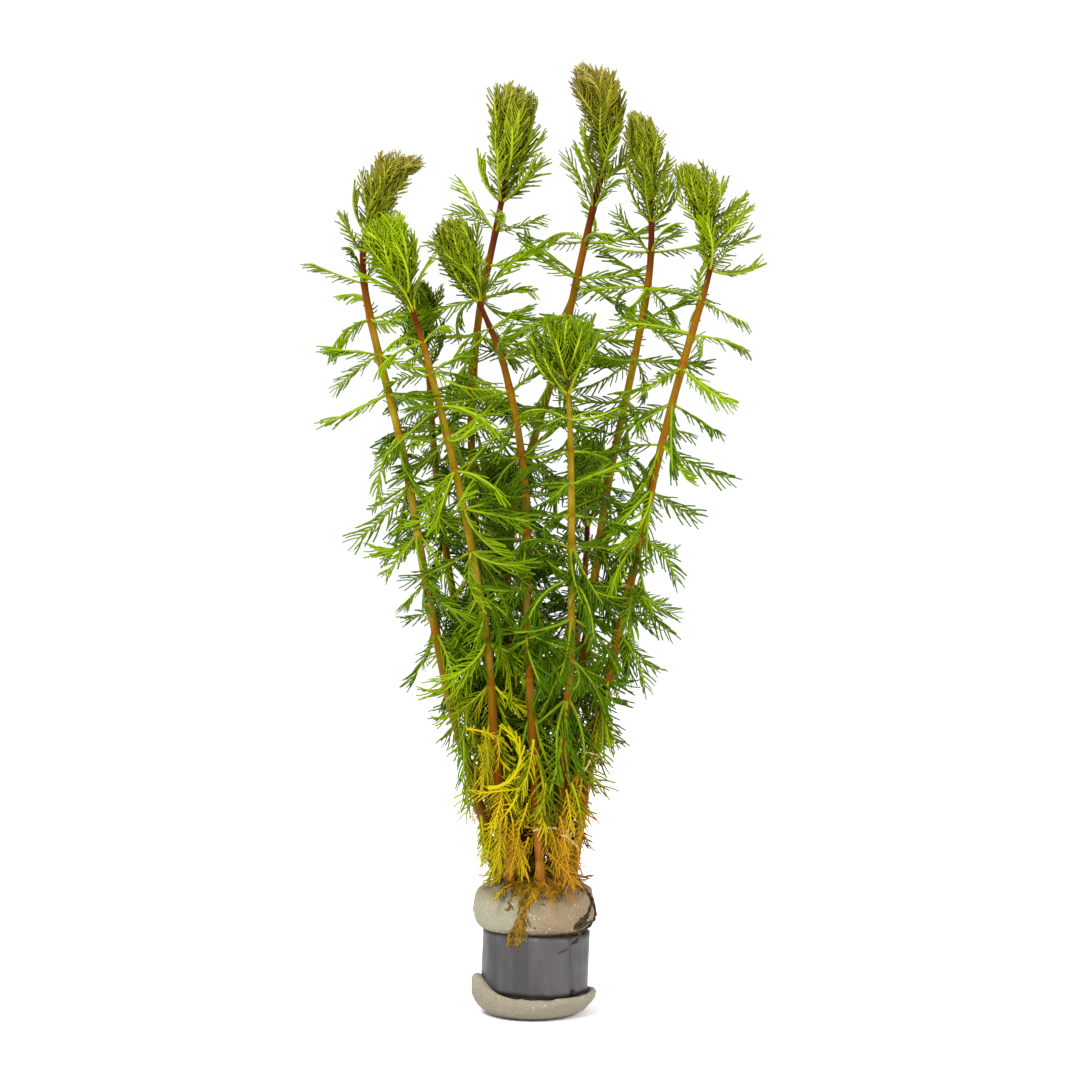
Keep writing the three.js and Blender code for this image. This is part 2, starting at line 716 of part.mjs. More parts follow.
// A thin decayed thread over the collar's front right
function strandGeometry() {
	const path = new THREE.CatmullRomCurve3(STRAND_LINE.map((p) => new THREE.Vector3(...p)));
	const section = new THREE.Shape();
	section.absarc(0, 0, STRAND_RADIUS, 0, 2 * Math.PI);
	return new THREE.ExtrudeGeometry(section, {
		steps: STRAND_STEPS, curveSegments: STRAND_CURVE_SEGMENTS, bevelEnabled: false, extrudePath: path,
	});
}

function addMesh(group, name, geometry, colour, roughness, metalness) {
	const mesh = new THREE.Mesh(geometry, new THREE.MeshStandardMaterial({ color: colour, roughness, metalness }));
	mesh.name = name;
	group.add(mesh);
	return mesh;
}

const bunch = new THREE.Group();
const stems = STEMS.map(planStem);
const collar = collarSolid(stems);
addMesh(bunch, 'foam_collar', geometryOfSolid(collar), 0xe6dcc0, 0.9, 0);

const band = addMesh(bunch, 'weight_band', bandGeometry(), 0x77747a, 0.6, 0.8);
band.position.z = BAND_BOTTOM;
band.rotation.y = BAND_TILT;
band.updateMatrixWorld();

const scrap = addMesh(bunch, 'dead_leaf_scrap', scrapGeometry(), 0x8f6a2c, 0.8, 0);
scrap.rotation.z = SCRAP_BEARING;
scrap.updateMatrixWorld();

const strand = addMesh(bunch, 'dark_strand', strandGeometry(), 0x1f1712, 0.6, 0);

const fixed = [band, scrap, strand].map((mesh) => {
	const geometry = mesh.geometry.clone().applyMatrix4(mesh.matrixWorld);
	return withBox(solidOfGeometry(geometry));
});
setLeaves(stems, [withBox(collar), ...fixed]);

for (const stem of stems) {
	const { points, faces } = leafyStem(stem);
	addMesh(bunch, stem.name, geometryOf(points, faces), stem.colour, 0.5, 0);
}

export default bunch;
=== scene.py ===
import json
import math
from collections import namedtuple

import bpy
from mathutils import Matrix, Vector, noise

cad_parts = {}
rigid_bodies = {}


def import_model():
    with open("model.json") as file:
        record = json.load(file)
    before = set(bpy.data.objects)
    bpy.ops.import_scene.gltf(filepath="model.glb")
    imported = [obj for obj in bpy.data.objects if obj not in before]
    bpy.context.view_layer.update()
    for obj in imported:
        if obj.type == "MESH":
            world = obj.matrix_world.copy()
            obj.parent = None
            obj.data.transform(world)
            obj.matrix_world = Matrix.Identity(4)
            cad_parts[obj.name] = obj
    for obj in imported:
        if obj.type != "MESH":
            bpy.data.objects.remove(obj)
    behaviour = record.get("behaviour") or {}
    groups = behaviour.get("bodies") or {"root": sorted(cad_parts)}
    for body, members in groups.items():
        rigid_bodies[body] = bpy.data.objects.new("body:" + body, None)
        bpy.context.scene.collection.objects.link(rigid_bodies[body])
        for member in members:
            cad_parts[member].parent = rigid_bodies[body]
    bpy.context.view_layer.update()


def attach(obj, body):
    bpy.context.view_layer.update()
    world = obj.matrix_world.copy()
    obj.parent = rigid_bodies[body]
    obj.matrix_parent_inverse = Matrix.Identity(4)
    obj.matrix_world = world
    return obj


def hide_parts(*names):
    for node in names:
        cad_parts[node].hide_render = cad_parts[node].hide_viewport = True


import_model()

bl_info = {
    "name": "Red milfoil bunch",
    "version": (1, 0, 0),
    "blender": (4, 5, 0),
    "location": "3D View > Sidebar > Milfoil",
    "description": "A bunch of red milfoil in a foam collar with a soft-metal weight band",
    "category": "Add Mesh",
}

MM = 0.001
BODY = "root"

# Growth rules shared by stems and leaves. All lengths here are in millimetres.
# Leaf whorls: close in the crown, then further and further apart
CROWN_OVERREACH = 6.5
FIRST_WHORL = 1.5
TIP_CLEAR = 2
CROWN_GAP = 1.7
OPEN_GAP = 6.3
LATE_GAP = 3.2
LOW_GAP_SHARE = 0.72
LOWEST_WHORL = 35
WHORL_TURN = 0.63
STEM_TURN = 1.7

# Leaves in a whorl: those of the crown's inside and of low side shoots stand in rings of their own
LEAVES_ROUND = 5
RING_SHIFT = 0.6
INNER_LEAVES = 2
SHOOT_LEAVES = 4
LOW_SHOOTS = 0.3
OUTER_SHOOTS = 0.3
DEAD_SHOOT_LEAVES = 5
DEAD_SHOOTS_BELOW = 64
DEAD_SHOOTS_BEHIND = -1
DEAD_SHOOT_GOLD = 0.8

# Shares of the leaves that are missing, which is most in front where the stems show
MISSING_LEAVES = 0.08
BARED_FRONT = 0.3
BARED_FOOT = 0.75
FRONT_STEMS = 2

# Leaves' angles in degrees
TIP_ANGLE = 10
CROWN_ANGLE = 11
SKIRT_ANGLE = 16
LEVEL_ANGLE = 92
SINKING_ANGLE = 27
LIMP_ANGLE = 30
LIMP_LEAVES = 0.52
HANGING_ANGLE = 38
FOOT_ANGLE = 6
CROWN_CURL = -8
OPEN_DROOP = 28
HANGING_DROOP = -8
CROWN_JITTER = 12
OPEN_JITTER = 40
HANGING_STILLNESS = 0.6
CROWN_TWIST = 50
OPEN_TWIST = 120
LEAST_OPEN_TWIST = 26
LOW_HANG = 166
HIGH_HANG = 112

# Leaves' sizes and colours
FOOT_LEAF_SHARE = 0.62
SHORTEST_SHARE = 0.9
LENGTH_SPREAD = 0.2
SHORTEST_LEAF = 5.5
LEAF_ROOT_DEPTH = 0.6
LEAFLET_REACH = 3.2
DEAD_LEAF_REACH = 3.5
EDGE_SLACK = 0.6
TRIM_STEP = 0.5
HANG_STEP = 0.1
FOAM_TOP = 30.6
LEVEL_SPREAD = 12
LOOSE_BELOW = 73
FOLDED_LEAVES = 0.4
LOW_UNFOLDED = 0.7
LEAST_FOLDED = 0.12
YELLOWING = 0.42
TINT_SPREAD = 0.75
FRESH_TINT = 0.5
LEAST_TINT = -0.1
SHADED_TINT = 0.15
GOLD_SPREAD = 5
BLEACHED = 2.0

# Where along the stem each change happens, from its tip
GAPS_WIDEN = (35, 70)
LEAVES_GROW = (18, 38)
LEAVES_SINK = (34, 80)
LEAVES_GO_LIMP = (30, 50)
LEAVES_TWIST = (22, 32)
FOLDING_ENDS = (45, 75)
SHOOTS_START = (34, 60)
STEM_THICKENS = (0, 40)
STEM_BASE_THICKENS = (60, 150)

# The same for a crown of the usual length; a shorter crown changes sooner
GAPS_OPEN = (4, 24)
CROWN_LEAVES_GROW = (0, 9)
CROWN_SPREADS = (2, 12)
CROWN_OPENS = (0, 9)
CROWN_LOOSENS = (3, 9)
SKIRT_SPREADS = (11, 19)
LEAVES_LEVEL = (20, 28)
LEAVES_LOOSEN = (22, 32)
LEAVES_DROOP = (18, 44)
LEAVES_FOLD = (21, 26)
YOUNG_END = 8
CROWN_END = 22
OPEN_GROWTH = 20

# At which heights over the floor each change happens
GAPS_LOW = (60, 100)
LEAVES_SHORT = (40, 74)
LEAVES_HANG = (77, 87)
LEAVES_FOOT = (48, 66)
HANG_EASES = (70, 100)
SHOOTS_THIN_OUT = (58, 84)
SHOOTS_END = (85, 155)
BARED_ABOVE_FOOT = (46, 58)
BARED_BELOW = (74, 102)
SHADE_ENDS = (100, 135)
# The same over or under the height below which a stem's leaves die
LEAVES_DIE = (-12, 12)
LEAVES_YELLOW = (-4, 32)

# How far from the bunch's middle plane each change happens, and how far a leaf faces the front
SHOOTS_OUTSIDE = (14, 28)
SHADE_INSIDE = (10, 24)
GOLD_FROM_LEFT = (-3, 7)
FACES_FRONT = (0, 0.6)

# Channels of the scatter that each choice of a leaf reads
CHANNELS = {"length": 0, "jitter": 9, "missing": 21, "tint": 33, "level": 41, "pattern": 51, "dead": 61,
            "gold": 71, "twist": 81, "folded": 91, "limp": 111}

# Each stem's line from the collar to the top of its crown, chosen. brown is how far its crown has
# turned tan, fresh how bright its green is, spent the height below which its leaves die, olive how far its
# middle has that colour, red how far from its tip it is red, crown the length of its crown against the
# usual one, plump the size of the crown's leaves, open the angle in degrees by which the crown stands open
# and loose the angle by which the crown's right side does
Stem = namedtuple("Stem", "name brown fresh spent olive red crown line plump open loose", defaults=(1, 0, 0))
STEMS = (
    Stem("far_left", brown=0.75, fresh=0.65, spent=66, olive=0.9, red=31, crown=1.22, plump=0.78, line=(
         (-8.5, -1, 31.5), (-15, -1.5, 56), (-19.5, -2, 72), (-25, -3, 99.5), (-30, -4, 128),
         (-37.5, -5, 159), (-39.2, -5.5, 172.5), (-37.8, -5.5, 181), (-34.6, -5.5, 188.2),
         (-30, -5.5, 192.4), (-23.6, -5, 193.8))),
    Stem("left", brown=0.05, fresh=0.85, spent=70, olive=0.8, red=19, crown=0.6, line=(
         (-5.5, -6, 31.5), (-8.8, -7.5, 58.5), (-10.6, -9, 83.5), (-14.6, -11, 108.5), (-20, -13, 133),
         (-25.5, -14.5, 154), (-30.2, -15.5, 168), (-34.2, -16, 178.4))),
    Stem("inner_left", brown=0.15, fresh=-0.5, spent=64, olive=0.3, red=16, crown=0.62, plump=0.84, line=(
         (-6.5, 4.5, 31.5), (-11.5, 6.5, 57.5), (-16.5, 8.5, 83), (-20.5, 10, 103.5), (-23.5, 12, 127),
         (-25, 12, 146), (-27.6, 12, 169))),
    Stem("front_centre", brown=0.35, fresh=0.15, spent=52, olive=0.25, red=24, crown=0.68, plump=0.86, line=(
         (1.4, -8, 31.5), (0, -8.5, 56), (-1.6, -8, 86), (-1.7, -7.5, 104), (-2.7, -7, 125.5), (-7, -7, 148),
         (-13, -7, 163.5), (-19.8, -7, 181.2))),
    Stem("tall_left", brown=0.52, fresh=1.2, spent=62, olive=0.35, red=35, crown=1.06, line=(
         (-2.8, -0.8, 31.5), (-8, 1.5, 62.5), (-12.8, 4, 94.5), (-14.7, 7, 127), (-14.6, 8, 143),
         (-12.9, 9, 162.5), (-9, 9, 182), (-6.3, 9, 197), (-5.3, 8, 214.4))),
    Stem("tall_brown", brown=0.85, fresh=0.85, spent=62, olive=0.4, red=37, crown=1.28, plump=0.9, line=(
         (-0.5, 3.6, 31.5), (-5.4, 5.5, 62), (-6.8, 8, 92), (-5, 11, 114.5), (0, 12, 133), (6, 12, 153.5),
         (11.2, 11.3, 176), (14, 10.8, 188), (16.2, 10.4, 198), (15.2, 10.2, 209), (10, 10, 220.4))),
    Stem("short_front", brown=0, fresh=0, spent=54, olive=0.9, red=8, crown=0.5, plump=0.92, open=16, line=(
         (6, -5.5, 31.5), (6.3, -8, 58.5), (8, -11, 81.5), (8.2, -13, 100), (8, -15, 129), (7.2, -16, 144),
         (6.4, -16, 157))),
    Stem("right", brown=0.48, fresh=0.15, spent=60, olive=0.8, red=32, crown=1.12, plump=0.8, line=(
         (3.7, 0.6, 31.5), (7.1, 1, 58), (11.5, 2, 83), (16.5, 3.5, 119), (22.5, 4, 148), (26.2, 4, 168),
         (27, 4, 182), (26.3, 4, 193), (24.6, 4, 202), (20.5, 4, 208))),
    Stem("far_right", brown=0.28, fresh=0.6, spent=64, olive=0.2, red=25, crown=1, plump=0.82, loose=60,
         line=(
         (8.7, 0, 31.5), (12.6, -2, 58), (18.3, -3.5, 83.5), (23, -5, 104), (28.5, -6.5, 129), (34, -8, 150),
         (38.7, -8, 166), (40, -8, 174), (38.6, -8, 182.5), (36, -8, 188.5), (32, -8, 194.4))),
    Stem("back_right", brown=0, fresh=0.2, spent=50, olive=0.3, red=24, crown=0.8, line=(
         (4.5, 7, 31.5), (5.2, 12, 57), (8.3, 16, 75.5), (11.1, 19, 94), (12.4, 21, 110), (12.6, 22, 132))),
    Stem("back_short", brown=0, fresh=0.1, spent=52, olive=0.3, red=24, crown=0.7, line=(
         (-1.5, 8.3, 31.5), (-2.6, 12, 57), (-4.8, 15, 75.5), (-6.4, 17, 94), (-7.7, 19, 113),
         (-8.4, 20, 127))),
)

# How far the bunch's foliage reaches at each height: height, left edge and right edge
FOLIAGE_EDGES = ((30, -11.8, 11.2), (42, -12.6, 11.4), (48, -13.4, 12.4), (52, -15, 13.4), (60, -17, 17.4),
                 (71, -19, 20), (76, -27, 27.5), (88, -30, 29.5), (96, -33, 34), (102, -35.5, 36.5),
                 (120, -40, 41.5), (141, -47, 48), (167, -51.5, 54), (220, -56, 56))
# A hollow left where leaves have gone from the front of the bunch: its middle, radius and how far back it
# starts
HOLLOW = {"x": -6.5, "z": 60, "radius": 6.8, "front": -9}

# Leaf patterns: name, length, pairs of leaflets, leaflet length, leaflet angle, thread radius, bend, its
# lean, leaflet dip
LEAF_PATTERNS = (
    ("young_a", 11.0, 10, 2.9, 44, 0.31, -62, 4, -0.2),
    ("young_b", 11.0, 9, 3.1, 39, 0.31, -76, -22, -0.3),
    ("young_c", 11.0, 10, 2.7, 50, 0.3, -50, 26, 0.0),
    ("crown_a", 12.0, 10, 4.1, 51, 0.31, -36, 10, -0.12),
    ("crown_b", 12.0, 10, 4.4, 45, 0.31, -52, -24, -0.3),
    ("crown_c", 12.0, 11, 3.9, 57, 0.3, -20, 30, 0.1),
    ("full_a", 15.5, 12, 5.2, 35, 0.3, 40, 8, 0.15),
    ("full_b", 15.5, 12, 5.0, 31, 0.31, 56, -24, 0.1),
    ("full_c", 15.5, 12, 5.3, 38, 0.29, 34, 36, 0.2),
    ("full_d", 15.5, 12, 5.4, 33, 0.3, 20, -40, 0.15),
    ("full_e", 15.5, 11, 4.9, 38, 0.3, 50, 50, 0.2),
    ("full_f", 15.5, 12, 5.2, 30, 0.3, 38, -60, 0.05),
    ("folded_a", 15.5, 11, 4.6, 24, 0.31, 46, 26, 0.3),
    ("folded_b", 15.5, 11, 5.0, 30, 0.31, 66, -34, 0.3),
    ("folded_c", 15.5, 11, 4.4, 34, 0.3, -34, 44, 0.5),
    ("loose_a", 15.0, 8, 5.5, 44, 0.35, 40, 20, 0.2),
    ("loose_b", 15.0, 8, 5.8, 39, 0.35, -24, -40, 0.0),
    ("loose_c", 15.0, 7, 5.3, 49, 0.36, 30, 70, 0.2),
    ("curl_a", 20.0, 10, 3.0, 30, 0.42, 150, -90, 0.0),
    ("bare_a", 12.0, 5, 1.9, 40, 0.26, 50, 40, 0.0),
)
# The first pattern of each kind, and how many it has
YOUNG, CROWN, FULL, FOLDED, LOOSE = (0, 3), (3, 3), (6, 6), (12, 3), (15, 3)
PATTERN_ORDER = {row[0]: order for order, row in enumerate(LEAF_PATTERNS)}

# Where leaflets stand along a midrib, their length by where they stand, and how much they vary
RIB_POINTS = 9
LEAFLETS_ALONG = (0.12, 0.985)
LEAFLET_LENGTHS = ((0.0, 0.5), (0.25, 0.86), (0.55, 1.0), (0.82, 1.0), (1.0, 0.74))
LEAFLET_SIZES = (0.78, 1.1)
ANGLE_SPREAD = 0.2
DIP_SPREAD = 0.25

# Leaves set one by one on each stem among the dead ones over the collar: pattern, place, heading, upper side,
# length, how dead and how gold
PLACED_LEAVES = {
    "left": (
        ("curl_a", (-10.4, -16.8, 53.2), (1, 0, -0.02), (0, -1, 0), 18.6, 0.44, 0.1),
        ("loose_a", (-3.3, -15, 53), (-1, -0.1, -0.12), (0, -0.9, 0.4), 10.5, 0.55, 0.1),
        ("loose_c", (-3.8, -14.5, 51.7), (-0.4, -0.15, -0.9), (0, -1, 0.2), 9.5, 0.58, 0.15),
        ("loose_b", (-7.2, -14.2, 53.2), (-0.1, -0.15, -1), (0, -1, 0.2), 8.5, 0.57, 0.2),
        ("bare_a", (-15.4, -13.5, 66.2), (1, 0, -0.04), (0, -1, 0.15), 10, 0.55, 0.3),
        ("loose_b", (-11.6, -10.6, 66.5), (0.25, -0.05, -1), (0, -1, 0.1), 10, 0.32, 0.7),
        ("loose_c", (-7.6, -10.4, 67), (-0.1, -0.05, -1), (0, -1, 0.1), 9, 0.36, 0.8),
        ("bare_a", (-8.4, -12.4, 64), (0.25, -0.05, -1), (0, -1, 0.1), 8, 0.5, 0.5),
        ("bare_a", (-12.8, -11.4, 62.5), (0.45, -0.05, -1), (0, -1, 0.1), 8, 0.48, 0.6),
        ("loose_c", (-7.6, -12.6, 42.6), (0.02, -0.1, -1), (0, -1, 0.1), 10, 0.36, 0),
        ("loose_a", (-9.6, -12, 44.6), (-0.06, -0.1, -1), (0, -1, 0.1), 9.5, 0.45, 0),
        ("loose_b", (-4.6, -12.2, 41.5), (0.4, -0.15, -1), (0.2, -1, 0.1), 8.5, 0.68, 0.6),
        ("loose_a", (-1.6, -12.6, 49.5), (-0.25, -0.15, -1), (0.1, -1, 0.1), 10, 0.62, 0.4),
        ("loose_b", (-8, -12.6, 45.5), (0.1, -0.1, -1), (0, -1, 0.2), 9.5, 0.5, 0.5),
        ("loose_c", (-6.4, -12.4, 46.5), (0.05, -0.1, -1), (0, -1, 0.2), 9, 0.52, 0.3),
    ),
    "far_left": (
        ("loose_a", (-12.2, -7, 46), (0.12, -0.1, -1), (-0.3, -1, 0), 10, 0.38, 0),
        ("loose_c", (-13.5, -6, 57), (0.02, -0.1, -1), (-0.2, -1, 0), 11, 0.3, 0),
        ("loose_a", (-17.6, -6.5, 71), (0.1, -0.05, -1), (-0.3, -1, 0), 13, 0.2, 0),
        ("loose_b", (-15.8, -6.5, 60), (0.2, -0.05, -1), (-0.3, -1, 0), 11, 0.26, 0),
        ("loose_b", (-16.6, -7.5, 66), (0.18, -0.05, -1), (-0.2, -1, 0), 12, 0.16, 0),
        ("loose_c", (-15.2, -8, 71.5), (0, -0.05, -1), (0.1, -1, 0), 11, 0.1, 0),
        ("loose_a", (-12.6, -6, 44.5), (0.12, -0.1, -1), (-0.4, -1, 0), 10, 0.34, 0.2),
    ),
    "front_centre": (
        ("loose_b", (-0.3, -13, 63.8), (-0.08, -0.12, -1), (0, -1, 0.2), 11.5, 0.42, 0),
        ("bare_a", (0.6, -12, 43.6), (-1, -0.1, 0.12), (0, -1, 0.3), 6, 0.7, 0.8),
        ("bare_a", (-0.4, -12.8, 43.2), (1, -0.1, 0.45), (0, -1, 0.3), 6, 0.6, BLEACHED),
        ("loose_a", (-5, -12.8, 46), (0.1, -0.1, -1), (0, -1, 0.2), 9, 0.75, 0.8),
        ("loose_b", (-3.6, -12.6, 43), (-0.1, -0.1, -1), (0, -1, 0.2), 9, 0.8, 0.9),
        ("loose_a", (-1.4, -11.8, 41.8), (-0.3, -0.15, -1), (0, -1, 0.2), 8.5, 0.78, 0.8),
    ),
    "short_front": (
        ("loose_c", (2.4, -13.5, 54), (-0.05, -0.1, -1), (0, -1, 0.2), 8.5, 0.3, 0),
        ("loose_a", (8.2, -12.6, 54), (0.36, -0.1, -0.9), (0, -1, 0.2), 10.5, 0.36, 0.1),
        ("loose_b", (7, -12.5, 52.5), (0.25, -0.15, -0.95), (0, -1, 0.2), 9, 0.52, 0.5),
        ("bare_a", (5.8, -13, 42.4), (0.9, 0, -0.3), (0, -1, 0.3), 5.5, 0.6, BLEACHED),
        ("loose_a", (3.6, -12, 43.5), (0.35, -0.2, -1), (0, -1, 0.2), 10, 0.66, 0.9),
        ("loose_c", (5.2, -12.2, 41), (0.5, -0.25, -0.85), (0, -1, 0.3), 10, 0.62, 1),
        ("loose_b", (3.2, -11.8, 38), (0.7, -0.2, -0.6), (0, -1, 0.2), 9, 0.64, 1),
        ("loose_a", (7.4, -11.4, 43), (0.1, -0.2, -1), (0, -1, 0.2), 9, 0.68, 0.9),
        ("loose_b", (5.6, -11.6, 46.5), (0.3, -0.2, -1), (0, -1, 0.2), 8.5, 0.6, 0.8),
    ),
    "far_right": (
        ("loose_a", (9.2, -7.5, 40.5), (0.2, -0.3, -0.9), (0.2, -1, 0.2), 8.5, 0.66, 0.9),
        ("loose_b", (11.6, -7, 60.5), (-0.25, -0.2, -1), (0.2, -1, 0.1), 7, 0.62, 0.9),
        ("loose_a", (14.2, -7.5, 65.5), (-0.12, -0.1, -1), (0.2, -1, 0.1), 10, 0.4, 0.5),
        ("loose_c", (10.4, -9, 57), (0.12, -0.1, -1), (0.1, -1, 0.1), 9, 0.46, 0.6),
        ("loose_b", (15.4, -6.5, 70), (0.05, -0.1, -1), (0.3, -1, 0.1), 10, 0.22, 0.2),
        ("bare_a", (12.8, -8.4, 59.5), (-0.3, -0.2, -0.9), (0.2, -1, 0.1), 8, 0.6, BLEACHED),
        ("bare_a", (9.8, -9.4, 60.6), (0.8, -0.2, 0.1), (0.2, -1, 0.1), 5, 0.6, BLEACHED),
        ("loose_c", (11.4, -6.5, 46), (-0.1, -0.2, -1), (0.2, -1, 0.1), 9, 0.6, 0.7),
    ),
}

# Dead leaves lying on the foam between the stems' feet: bearing in degrees, distance from the axis
LITTER = ((-118, 7.2), (-106, 8.4), (-99, 6.2), (-102, 10), (-76, 9.6), (-68, 7.4), (-60, 9.2), (-50, 8.2),
          (-40, 9.4), (-30, 7.6), (-132, 8.6), (-146, 8), (-112, 9.8), (-72, 8.6), (-56, 7.2), (-20, 9),
          (160, 8.4), (120, 8), (70, 8.6), (30, 8.2), (-64, 10.2), (-46, 10.2), (-108, 11.6), (-99, 11.9),
          (-92, 11.4), (-84, 11.9), (-76, 11.5), (-69, 11.9), (-61, 11.6), (-118, 11.4), (-52, 11.7),
          (-40, 11.4), (-95, 9.6), (-86, 9.8), (-80, 10.6), (-104, 10.8), (-90, 10.4), (-97, 10.9),
          (-74, 10.5), (-66, 11), (-57, 10.4), (-113, 10.6), (-83, 8.6), (-94, 8.4))
# How they lie: a height, length, slope and share of death are a least value and a spread over it
LITTER_STEM = "front_centre"
LITTER_HEIGHT = (31.2, 0.9)
LITTER_SINK = 0.7
LITTER_SINKS_FROM = (10, 12)
LITTER_TURN = 100
LITTER_EDGE = 12.0
LITTER_GOLD_FROM_LEFT = (-6, 3)
LITTER_LENGTH = (4.5, 2.0)
LITTER_SLOPE = (-0.18, -0.3)
LITTER_DEAD = (0.7, 0.3)
LITTER_LEAST_GOLD = 0.3
# What leaves set one by one share
PLACED_LOOK = {"from_tip": 120, "tint": 0.5, "brown": 0, "fresh": 0.5}

# Stems: their radius, and how they stand in the collar
STEM_TIP_RADIUS = 0.45
STEM_CROWN_GROWTH = 0.42
STEM_BASE_GROWTH = 0.28
STEM_SIDES = 12
STEM_ROUGHNESS = 0.00012
STEM_FOOT_GATHER = 0.8
STEM_FOOT_HEIGHT = 4.5
STEM_FOOT_RUN = 27
TIP_SHARE = 0.25
NODE_SWELL = 0.1
NODE_HALF_HEIGHT = 1.1
NODES_SWELL_BELOW_TIP = 12
LAST_NODE_GAP = 40
NODES_SWELL = (60, 90)
STEM_FOOT_ENDS = (38, 54)
STEM_LOW_ENDS = (55, 105)

# Foam collar: its skin's grid and lap, the scales and depths of its lumps, and its two uneven sides, of which
# the left one's foot turns up
COLLAR_COLUMNS = 230
COLLAR_ROWS = 120
COLLAR_LAP_ANGLE = 1.9
COLLAR_LAP = 0.55
FOAM_LUMPS = (0.13, 0.42, 1.15)
FOAM_LUMP_DEPTHS = (0.5, 0.42, 0.2)
FOAM_LUMPS_AT = Vector((3.1, 0, 7.7))
FOAM_INSET = 0.2
UPTURNED_ANGLE = 0.12
UPTURNED_SHARPNESS = 5
UPTURNED_LIFT = 4.0
FULLER_ANGLE = -0.2
FULLER_SHARPNESS = 1.5

# Weight band: its grid, how it is wound, the depth and scale of its dents, the depth, scales and place of its
# frays, and its outer end
BAND_STEPS = 260
BAND_OUTER_ROWS = 12
BAND_INNER_ROWS = 5
BAND_LAP_ANGLE = 0.6
BAND_START_ANGLE = -1.52
BAND_TILT = 0.045
BAND_BOTTOM = 5.7
BAND_PITCH = 0.95
BAND_DENTS = ((0.16, 1.6), (0.07, 5))
BAND_FRAYS = ((0.16, 9, 4, 2), (0.22, 2, 9, 5))
BAND_END_DROP = 0.5
BAND_EDGE_SHARPNESS = 18

# Threads of decayed matter over the collar and band: radius, then points as a bearing in degrees and a height,
# with a distance from the collar's axis where they don't lie against it
DARK_THREADS = (
    (0.52, ((-44, 31.4, 9.6), (-34, 30.6, 11.4), (-24, 28.6), (-15, 26.6), (-10, 24.6), (-10, 22.6),
            (-17, 20.8), (-28, 20), (-40, 19.7), (-52, 19.6), (-64, 19.6))),
    (0.4, ((-16, 25.6), (-24, 24.6), (-33, 23.6), (-42, 22.6), (-48, 21.8))),
    (0.46, ((-30, 23.4), (-38, 22.4), (-46, 21.6), (-49, 20.9))),
    (0.6, ((-41, 22.9), (-46, 22.2), (-49, 21.2))),
    (0.55, ((-40, 21.9), (-45, 21.3), (-48.5, 20.6))),
    (0.5, ((-34, 22.2), (-40, 21.3), (-44, 20.6))),
    (0.3, ((-18, 21.6), (-27, 21.4), (-36, 20.8), (-44, 20.4))),
    (0.26, ((-27, 20.6), (-32, 19.2), (-39, 17.9), (-50, 16.9), (-58, 16.2), (-66, 15.6))),
    (0.22, ((-38, 19), (-39, 18), (-40, 17.2))),
    (0.34, ((-44, 6.6), (-46, 6), (-48, 5.6))),
)

# Ribs of the dead leaf that hangs in front, and of its side lobe, the same way, with pairs of leaflets
# after the radius
SCRAP_RIBS = (
    (0.32, 9, ((-96, 31, 9), (-98, 29.6), (-100, 27.4), (-102, 25), (-103.5, 23), (-105, 21), (-106, 19.6))),
    (0.36, 8, ((-102, 26.4), (-104, 24.4), (-105, 22.6), (-106.5, 21), (-108.5, 19.6))),
    (0.3, 7, ((-98, 27.4), (-99.5, 25), (-101, 22.8), (-102.5, 21.2), (-103.5, 20))),
    (0.34, 7, ((-106, 22.6), (-110, 21.4), (-113.5, 20.6), (-116.5, 20))),
    (0.28, 6, ((-103, 22.4), (-106, 20.8), (-110, 19.6), (-114, 19))),
)
# Each pair here is a least value and a spread over it
SCRAP_LEAFLET_WIDTH = (2, 5)
SCRAP_LEAFLET_DROP = (1.3, 2.2)
SCRAP_LEAFLET_RADIUS = (0.15, 0.12)
LOOSE_BITS = 16
LOOSE_BIT_BEARING = (-116, 32)
LOOSE_BIT_HEIGHT = (26.2, 2.8)
LOOSE_BIT_RADIUS = (0.14, 0.16)

# All threads: distance between points, how ragged they are, how far off the foam, and how thick they run
THREAD_STEP = 0.45
THREAD_RAGGED = 0.16
THREAD_LIFT = 0.12
THREAD_TAPER = 0.6
THREAD_WAVER = (0.65, 0.7)
OUTSIDE_COLLAR = 40

# Stage, in metres: each lamp's name, energy, size and place
LAMPS = (("key", 16.0, 0.35, (-0.35, -0.7, 0.8)), ("side", 5.0, 0.4, (0.75, -0.35, 0.45)))
BUNCH_MIDDLE = (0, 0, 0.11)
WORLD_STRENGTH = 1.05
FLOOR_RADIUS = 6
FLOOR_SIDES = 64
SENSOR_WIDTH = 36

